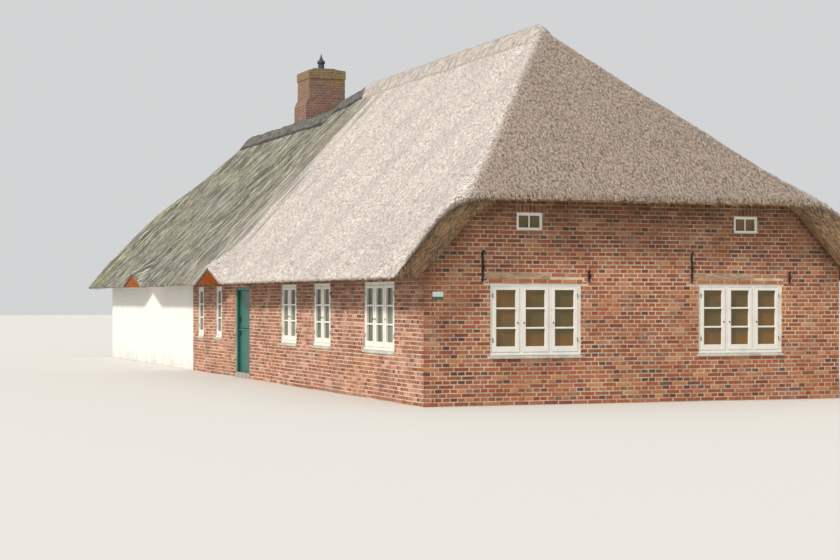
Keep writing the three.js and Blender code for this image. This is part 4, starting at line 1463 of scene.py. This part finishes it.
class COTTAGE_OT_thatch(bpy.types.Operator):
    """Thatch the roof: new and old reed, their ragged edges and the ridge capping"""

    bl_idname = "cottage.thatch"
    bl_label = "Thatch"

    def execute(self, context):
        rng = np.random.default_rng(SEED)
        gap = 0.002
        hole = ((STACK_LOW.x - gap, STACK_LOW.y - gap), (STACK_HIGH.x + gap, STACK_HIGH.y + gap))
        house = ["thatch_house_west", "thatch_house_east", "thatch_front_hip"]
        barn = ["thatch_barn_west", "thatch_barn_east", "thatch_rear_hip"]
        thatch_shell("thatch_of_dwelling", -ROOF_Y, THATCH_JOINT, house)
        thatch_shell("thatch_of_barn", THATCH_JOINT, ROOF_Y, barn, hole)
        surface_stalks("reed_ends_dwelling", -ROOF_Y, THATCH_JOINT, rng)
        surface_stalks("reed_ends_barn", THATCH_JOINT, ROOF_Y, rng)
        eave_fringe("eaves_fringe_dwelling", -ROOF_Y, THATCH_JOINT, rng)
        eave_fringe("eaves_fringe_barn", THATCH_JOINT, ROOF_Y, rng)
        verge_fringe("verge_fringe_front", -1, rng)
        verge_fringe("verge_fringe_rear", 1, rng)
        ridge_capping("ridge_capping_dwelling", FRONT_APEX - 0.12, THATCH_JOINT, False, ["ridge_cap_house"])
        ridge_capping("ridge_capping_barn", THATCH_JOINT, REAR_APEX + 0.1, True, ["ridge_cap_barn"], hole)
        return {"FINISHED"}


# Windows


def window_matrix(name):
    """From a window's own frame (x along the wall, y inwards, z up from its sill) to the house, and the
    window's width, height and depth."""
    low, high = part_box(name)
    facing = facing_of(name)
    turn = {"front": 0, "east": math.pi / 2, "rear": math.pi, "west": -math.pi / 2}[facing]
    face = {
        "front": ((low.x + high.x) / 2, low.y),
        "rear": ((low.x + high.x) / 2, high.y),
        "east": (high.x, (low.y + high.y) / 2),
        "west": (low.x, (low.y + high.y) / 2),
    }[facing]
    width, depth = high.x - low.x, high.y - low.y
    if facing in ("east", "west"):
        width, depth = depth, width
    matrix = Matrix.Translation((face[0], face[1], low.z)) @ Matrix.Rotation(turn, 4, "Z")
    return matrix, width, high.z - low.z, depth


def add_frame(bm, half, depth, height, post, bevel, drip_board):
    """A window's outer frame, with a drip board along its foot if it has one."""
    add_block(bm, (-half, 0, 0), (half, depth, post), bevel)
    if drip_board:
        add_block(bm, (-half, -0.022, 0.0), (half, 0.01, 0.03), bevel)
    add_block(bm, (-half, 0, height - post), (half, depth, height), bevel)
    for side in (-1, 1):
        x = sorted((side * half, side * (half - post)))
        add_block(bm, (x[0], 0.001, post - 0.002), (x[1], depth, height - post + 0.002), bevel)


def add_casements(bm, metal, width, height, depth, bevel):
    """A window's lights and the posts between them, with glazing bars, hinges and stay knobs."""
    pane = PANE["width"] / 2
    pitch = PANE["width"] + MULLION
    lights = round((width - 2 * BORDER + MULLION) / pitch)
    sash = (MULLION - POST) / 2
    z0, z1 = POST + 0.003, height - POST - 0.003
    front, back = -SASH_PROUD, SASH_BACK
    for light in range(lights):
        centre = (light - (lights - 1) / 2) * pitch
        if light < lights - 1:
            post0, post1 = centre + pitch / 2 - POST / 2, centre + pitch / 2 + POST / 2
            add_block(bm, (post0, 0.001, POST - 0.002), (post1, depth, height - POST + 0.002), bevel)
        x0, x1 = centre - pane - sash + 0.003, centre + pane + sash - 0.003
        rail0, rail1 = centre - pane - 0.004, centre + pane + 0.004
        add_block(bm, (rail0, front + 0.001, z0), (rail1, back, BOTTOM_RAIL), bevel, segments=2)
        add_block(bm, (rail0, front + 0.001, height - TOP_RAIL), (rail1, back, z1), bevel, segments=2)
        for left, right in ((x0, centre - pane), (centre + pane, x1)):
            add_block(bm, (left, front, z0), (right, back, z1), bevel, segments=2)
        for row in range(1, PANE["rows"]):
            z = BOTTOM_RAIL + row * PANE["height"] + (row - 1) * PANE["bar"]
            low = (centre - pane - 0.01, front + 0.006, z + 0.006)
            high = (centre + pane + 0.01, back, z + PANE["bar"] - 0.006)
            add_block(bm, low, high, bevel * 1.5, segments=2)
        if light in (0, lights - 1):
            edge = x0 if light == 0 else x1
            for z in (height * 0.18, height * 0.8):
                top = (edge + 0.005, front + 0.002, z + 0.07)
                add_block(metal, (edge - 0.005, front - 0.006, z), top, 0.002)
        if lights > 1:
            side = 1 if light == 0 else -1
            knob, z = centre + side * (pane + sash / 2), height * 0.44
            top = (knob + 0.007, front + 0.002, z + 0.03)
            add_block(metal, (knob - 0.007, front - 0.012, z), top, 0.003)


def build_window(name):
    """A painted frame, with one bar in the attic and with casements and their metalwork below."""
    bevel = settings().joinery.bevel
    matrix, width, height, depth = window_matrix(name)
    attic = name.startswith("attic")
    post = ATTIC_POST if attic else POST
    joinery = bmesh.new()
    metal = None if attic else bmesh.new()
    add_frame(joinery, width / 2, depth, height, post, bevel, not attic)
    if attic:
        low, high = (-0.011, 0.008, post - 0.002), (0.011, SASH_BACK, height - post + 0.002)
        add_block(joinery, low, high, bevel)
    else:
        add_casements(joinery, metal, width, height, depth, bevel)
        bmesh.ops.transform(metal, matrix=matrix, verts=metal.verts[:])
    bmesh.ops.transform(joinery, matrix=matrix, verts=joinery.verts[:])
    finish_piece(name + "_joinery", joinery, white_paint(), replaces=[name])
    if not attic:
        finish_piece(name + "_hinges", metal, metal_material("rusty_iron"))


class COTTAGE_OT_windows(bpy.types.Operator):
    """Make each window's joinery, glass and sill"""

    bl_idname = "cottage.windows"
    bl_label = "Windows"

    def execute(self, context):
        sills = bmesh.new()
        for name in window_names():
            build_window(name)
            dress_node(name + "_glass", glass_material(facing_of(name)))
            if name.startswith("attic"):
                continue
            matrix, width = window_matrix(name)[:2]
            half = width / 2 + SILL["ear"]
            low = (-half, -SILL["projection"] - SILL["reveal"], -SILL["height"])
            verts = add_block(sills, low, (half, 0.02, -0.002), 0.006, segments=2)
            for vert in verts:
                if vert.co.z > -0.02 and vert.co.y < -0.02:
                    vert.co.z -= 0.014
            bmesh.ops.transform(sills, matrix=matrix, verts=verts)
        cement = cement_material("limewashed_cement", "#cdccc3", "#a3a196")
        finish_piece("window_sills", sills, cement)
        return {"FINISHED"}


class COTTAGE_OT_door(bpy.types.Operator):
    """Make the stable door's boarded leaves, its frame and its ironwork"""

    bl_idname = "cottage.door"
    bl_label = "Stable door"

    def execute(self, context):
        for body, node in (("lower_leaf", "door_lower_leaf"), ("upper_leaf", "door_upper_leaf")):
            self.add_leaf(body, node)
        iron = metal_material("rusty_iron")
        for node in ("door_jamb_near", "door_jamb_far", "door_head"):
            low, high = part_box(node)
            if node == "door_jamb_near":
                high = Vector((low.x + HINGE_JAMB["depth"], low.y + HINGE_JAMB["width"], high.z))
                pins = bmesh.new()
                for leaf in ("door_lower_leaf", "door_upper_leaf"):
                    self.add_pintles(pins, leaf, high.x)
                finish_piece("door_pintles", pins, iron)
            bm = bmesh.new()
            add_block(bm, low, high, 0.004, segments=2)
            finish_piece(node + "_joinery", bm, green_paint(), replaces=[node])
        dress_node("door_threshold", cement_material("cement_render", "#aaa49a", "#7d786f"))
        return {"FINISHED"}

    def add_leaf(self, body, node):
        """A leaf of upright boards on rails and stiles, with its straps and its grip."""
        low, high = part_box(node)
        face, inner = low.x, low.x + DOOR["thickness"]
        near = low.y + DOOR["near_gap"]
        bm = bmesh.new()
        step = (high.y - near) / DOOR["boards"]
        for i in range(DOOR["boards"]):
            y0, y1 = near + i * step + 0.001, near + (i + 1) * step - 0.001
            add_block(bm, (face + 0.004, y0, low.z), (face + 0.026, y1, high.z), 0.004)
        behind = face + 0.024
        for z0, z1 in ((low.z, low.z + DOOR["rail"]), (high.z - DOOR["rail"], high.z)):
            add_block(bm, (behind, near + 0.002, z0 + 0.002), (inner, high.y - 0.002, z1 - 0.002), 0.003)
        for y0, y1 in ((near, near + DOOR["stile"]), (high.y - DOOR["stile"], high.y)):
            add_block(bm, (behind, y0 + 0.002, low.z + 0.003), (inner, y1 - 0.002, high.z - 0.003), 0.003)
        if body == "lower_leaf":
            z0, z1 = high.z - 0.045, high.z - 0.008
            add_block(bm, (face - 0.012, near, z0), (face + 0.01, high.y, z1), 0.004)
        finish_piece(node + "_boards", bm, green_paint(), body=body, replaces=[node])

        metal = bmesh.new()
        pivot = (inner + HINGE["off_face"], near)
        for foot in self.hinge_feet(low, high):
            self.add_hinge(metal, pivot, inner, near, foot)
        end = high.y
        foot = high.z - 0.16 if body == "lower_leaf" else low.z + 0.12
        z0, z1 = foot + 0.055, foot + 0.073
        add_block(metal, (face - 0.006, end - 0.1, foot), (face + 0.006, end - 0.055, foot + 0.13), 0.002)
        add_block(metal, (face - 0.04, end - 0.088, z0), (face, end - 0.07, z1), 0.003)
        add_block(metal, (face - 0.05, end - 0.17, z0), (face - 0.034, end - 0.068, z1), 0.004)
        finish_piece(node + "_ironwork", metal, metal_material("rusty_iron"), body=body)

    def hinge_feet(self, low, high):
        """The heights of a leaf's two hinges."""
        return low.z + HINGE["inset"], high.z - HINGE["inset"] - HINGE["height"]

    def add_pintles(self, bm, leaf, jamb_x):
        """The jamb's own pins, under a leaf's knuckles, with the arms that hold them."""
        low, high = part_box(leaf)
        pivot = (low.x + DOOR["thickness"] + HINGE["off_face"], low.y + DOOR["near_gap"])
        for foot in self.hinge_feet(low, high):
            self.add_knuckle(bm, pivot, foot, foot + HINGE["pin"])
            arm = (jamb_x - 0.002, pivot[1] - 0.04, foot)
            add_block(bm, arm, (pivot[0], pivot[1], foot + HINGE["pin"]), 0.001)

    def add_knuckle(self, bm, pivot, z0, z1):
        """One knuckle, upright around the hinge's axis."""
        radius = HINGE["radius"]
        made = bmesh.ops.create_cone(
            bm, cap_ends=True, cap_tris=False, segments=20, radius1=radius, radius2=radius, depth=z1 - z0
        )
        bmesh.ops.translate(bm, vec=(pivot[0], pivot[1], (z0 + z1) / 2), verts=made["verts"])

    def add_hinge(self, bm, pivot, inner, near, foot):
        """A leaf's own knuckle with its long strap on the inside."""
        low, high = foot + HINGE["pin"] + 0.0004, foot + HINGE["height"]
        self.add_knuckle(bm, pivot, low, high)
        tip = near + HINGE["strap"]
        add_block(bm, (inner - 0.001, near, low + 0.001), (inner + 0.005, tip, high - 0.001), 0.001)
        eye = (inner + HINGE["off_face"], near + 0.012, high - 0.001)
        add_block(bm, (inner, near, low + 0.001), eye, 0.0005)


class COTTAGE_OT_fittings(bpy.types.Operator):
    """Add the eyebrows' boards, the timber lintels, the wall anchors, the blank plate and the floor"""

    bl_idname = "cottage.fittings"
    bl_label = "Boards and fittings"

    def execute(self, context):
        self.add_eyebrow_boards()
        self.add_lintels()
        self.add_anchors()
        self.add_plate()
        dress_node("floor", floor_material())
        return {"FINISHED"}

    def add_eyebrow_boards(self):
        """Boards that run along under each eyebrow, on both sides of its point."""
        boards = tuple(settings().joinery.boards)
        wood = wood_material("oiled_softwood", boards, linear("#8e4206"), (6, 1, 1))
        count = 5
        for index, (low, high) in enumerate(EYEBROWS, 1):
            bm = bmesh.new()
            middle = (low.y + high.y) / 2
            half = (high.y - low.y) / 2
            rise = high.z - low.z
            angle = math.atan2(rise, half)
            length = math.hypot(half, rise)
            step = (high.x - low.x) / count
            for side in (-1, 1):
                turn = Matrix.Translation((0, middle, high.z)) @ Matrix.Rotation(-side * angle, 4, "X")
                y0, y1 = sorted((side * 0.004, side * (length - 0.02)))
                for i in range(count):
                    x0, x1 = low.x + i * step + 0.001, low.x + (i + 1) * step - 0.001
                    add_block(bm, (x0, y0, -0.024), (x1, y1, -0.003), 0.003, turn)
            name = f"eyebrow_boarding_{index}"
            finish_piece(name, bm, wood, replaces=[f"eyebrow_boards_{index}"])

    def add_lintels(self):
        """A weathered beam over each big gable window, short of its right-hand end."""
        wood = wood_material("grey_oak", linear("#c6a88a"), linear("#8a715d"), (1, 8, 8))
        bm = bmesh.new()
        back = -WALL_Y + 0.01
        for low, high in gable_windows(attic=False):
            z0, z1 = high.z + LINTEL["course"], LINTEL["top"] - 0.008
            left = low.x - LINTEL["bearing"] - 0.002
            split = low.x + (high.x - low.x) * LINTEL["timber"] - 0.008
            add_block(bm, (left, -WALL_Y - 0.009, z0), (split, back, z1 - 0.004), 0.006, segments=2)
            low_end = (left + 0.06, -WALL_Y - 0.0085, z1 - 0.03)
            add_block(bm, low_end, (split - 0.2, back, z1 + 0.004), 0.005)
        finish_piece("timber_lintels", bm, wood)

    def add_anchors(self):
        """Wrought iron anchors, a flat bar with a split, curled top, beside each big gable window."""
        bm = bmesh.new()
        y0, y1 = -WALL_Y - 0.024, -WALL_Y - 0.008
        for low, high in gable_windows(attic=False):
            tall = (low.x - ANCHOR["left"], ANCHOR["tall"])
            short = (high.x + ANCHOR["right"], ANCHOR["short"])
            for x, z1 in (tall, short):
                bend = (ANCHOR["foot"] + z1) / 2
                for a, b, lean in ((ANCHOR["foot"], bend, 2.5), (bend - 0.01, z1, -3.0)):
                    turn = Matrix.Rotation(math.radians(lean), 4, "Y")
                    place = Matrix.Translation((x, 0, bend)) @ turn
                    add_block(bm, (-0.017, y0, a - bend), (0.017, y1, b - bend), 0.005, place)
                knot = (x - 0.026, y0 - 0.008, bend - 0.026)
                add_block(bm, knot, (x + 0.026, y1, bend + 0.026), 0.006)
                turn = Matrix.Rotation(math.radians(55), 4, "Y")
                place = Matrix.Translation((x - 0.02, 0, z1 - 0.01)) @ turn
                add_block(bm, (-0.012, y0, 0), (0.012, y1, 0.06), 0.004, place)
        finish_piece("wall_anchors", bm, metal_material("rusty_iron"))

    def add_plate(self):
        """A small blank enamel plate beside the corner."""
        bm = bmesh.new()
        left = -WALL_X + PLATE["inset"]
        low = (left, -WALL_Y - 0.02, PLATE["foot"])
        add_block(bm, low, (left + PLATE["width"], -WALL_Y - 0.007, PLATE["top"]), 0.004, segments=3)
        finish_piece("blank_plate", bm, enamel_material())


class COTTAGE_OT_stage(bpy.types.Operator):
    """Set the pale floor, the soft lights and the camera"""

    bl_idname = "cottage.stage"
    bl_label = "Stage"

    def execute(self, context):
        look = context.scene.cottage.stage
        bm = bmesh.new()
        bmesh.ops.create_grid(bm, x_segments=1, y_segments=1, size=STAGE_HALF)
        mesh = bpy.data.meshes.new("studio_floor")
        bmesh.ops.translate(bm, vec=(0, 0, -0.002), verts=bm.verts[:])
        bm.to_mesh(mesh)
        bm.free()
        made, tree, shader = start_material("studio_floor")
        set_surface(tree, shader, {"Base Color": tuple(look.floor), "Roughness": 0.9})
        mesh.materials.append(made)
        floor = bpy.data.objects.new("studio_floor", mesh)
        context.scene.collection.objects.link(floor)

        world = bpy.data.worlds.new("studio")
        world.use_nodes = True
        background = world.node_tree.nodes["Background"]
        background.inputs["Color"].default_value = linear("#f1f2f3")
        background.inputs["Strength"].default_value = look.sky
        context.scene.world = world

        sun = bpy.data.lights.new("key_light", "SUN")
        sun.energy = look.sun
        sun.angle = math.radians(6)
        sun.color = linear("#fff8ee")[:3]
        key = bpy.data.objects.new("key_light", sun)
        key.rotation_euler = Vector(LIGHT_FROM).to_track_quat("Z", "Y").to_euler()
        context.scene.collection.objects.link(key)

        context.scene.view_settings.view_transform = "Standard"
        context.scene.view_settings.look = "None"

        lens = bpy.data.cameras.new("camera")
        lens.sensor_width = 36
        lens.lens = look.lens
        lens.shift_y = (HORIZON_ROW - PHOTO_HEIGHT / 2) / PHOTO_WIDTH
        lens.clip_end = 500
        camera = bpy.data.objects.new("camera", lens)
        camera.location = CAMERA_PLACE
        camera.rotation_euler = (math.radians(90), 0, math.radians(CAMERA_YAW))
        context.scene.collection.objects.link(camera)
        context.scene.camera = camera
        return {"FINISHED"}


class CottageSettings(bpy.types.PropertyGroup):
    """All the cottage's settings."""

    thatch: PointerProperty(type=CottageThatch, name="Thatch", description="Reed thatch")
    bricks: PointerProperty(type=CottageBricks, name="Bricks", description="Brickwork")
    joinery: PointerProperty(type=CottageJoinery, name="Joinery", description="Windows and door")
    stage: PointerProperty(type=CottageStage, name="Stage", description="Floor, light and camera")


OPERATORS = (
    COTTAGE_OT_stage,
    COTTAGE_OT_thatch,
    COTTAGE_OT_bricks,
    COTTAGE_OT_chimney,
    COTTAGE_OT_windows,
    COTTAGE_OT_door,
    COTTAGE_OT_fittings,
)


class COTTAGE_PT_panel(bpy.types.Panel):
    """Lists the steps that dress the cottage"""

    bl_idname = "COTTAGE_PT_panel"
    bl_label = "Cottage"
    bl_space_type = "VIEW_3D"
    bl_region_type = "UI"
    bl_category = "Cottage"

    def draw(self, context):
        for operator in OPERATORS:
            self.layout.operator(operator.bl_idname)
        for group in ("thatch", "bricks", "joinery", "stage"):
            box = self.layout.box()
            values = getattr(context.scene.cottage, group)
            for key in values.__annotations__:
                box.prop(values, key)


GROUPS = (CottageThatch, CottageBricks, CottageJoinery, CottageStage, CottageSettings)


def register():
    for item in GROUPS + OPERATORS + (COTTAGE_PT_panel,):
        bpy.utils.register_class(item)
    bpy.types.Scene.cottage = PointerProperty(
        type=CottageSettings, name="Cottage", description="The cottage's settings"
    )


def unregister():
    del bpy.types.Scene.cottage
    for item in reversed(GROUPS + OPERATORS + (COTTAGE_PT_panel,)):
        bpy.utils.unregister_class(item)


def main():
    register()
    for operator in OPERATORS:
        group, name = operator.bl_idname.split(".")
        getattr(getattr(bpy.ops, group), name)()


if __name__ == "__main__":
    main()
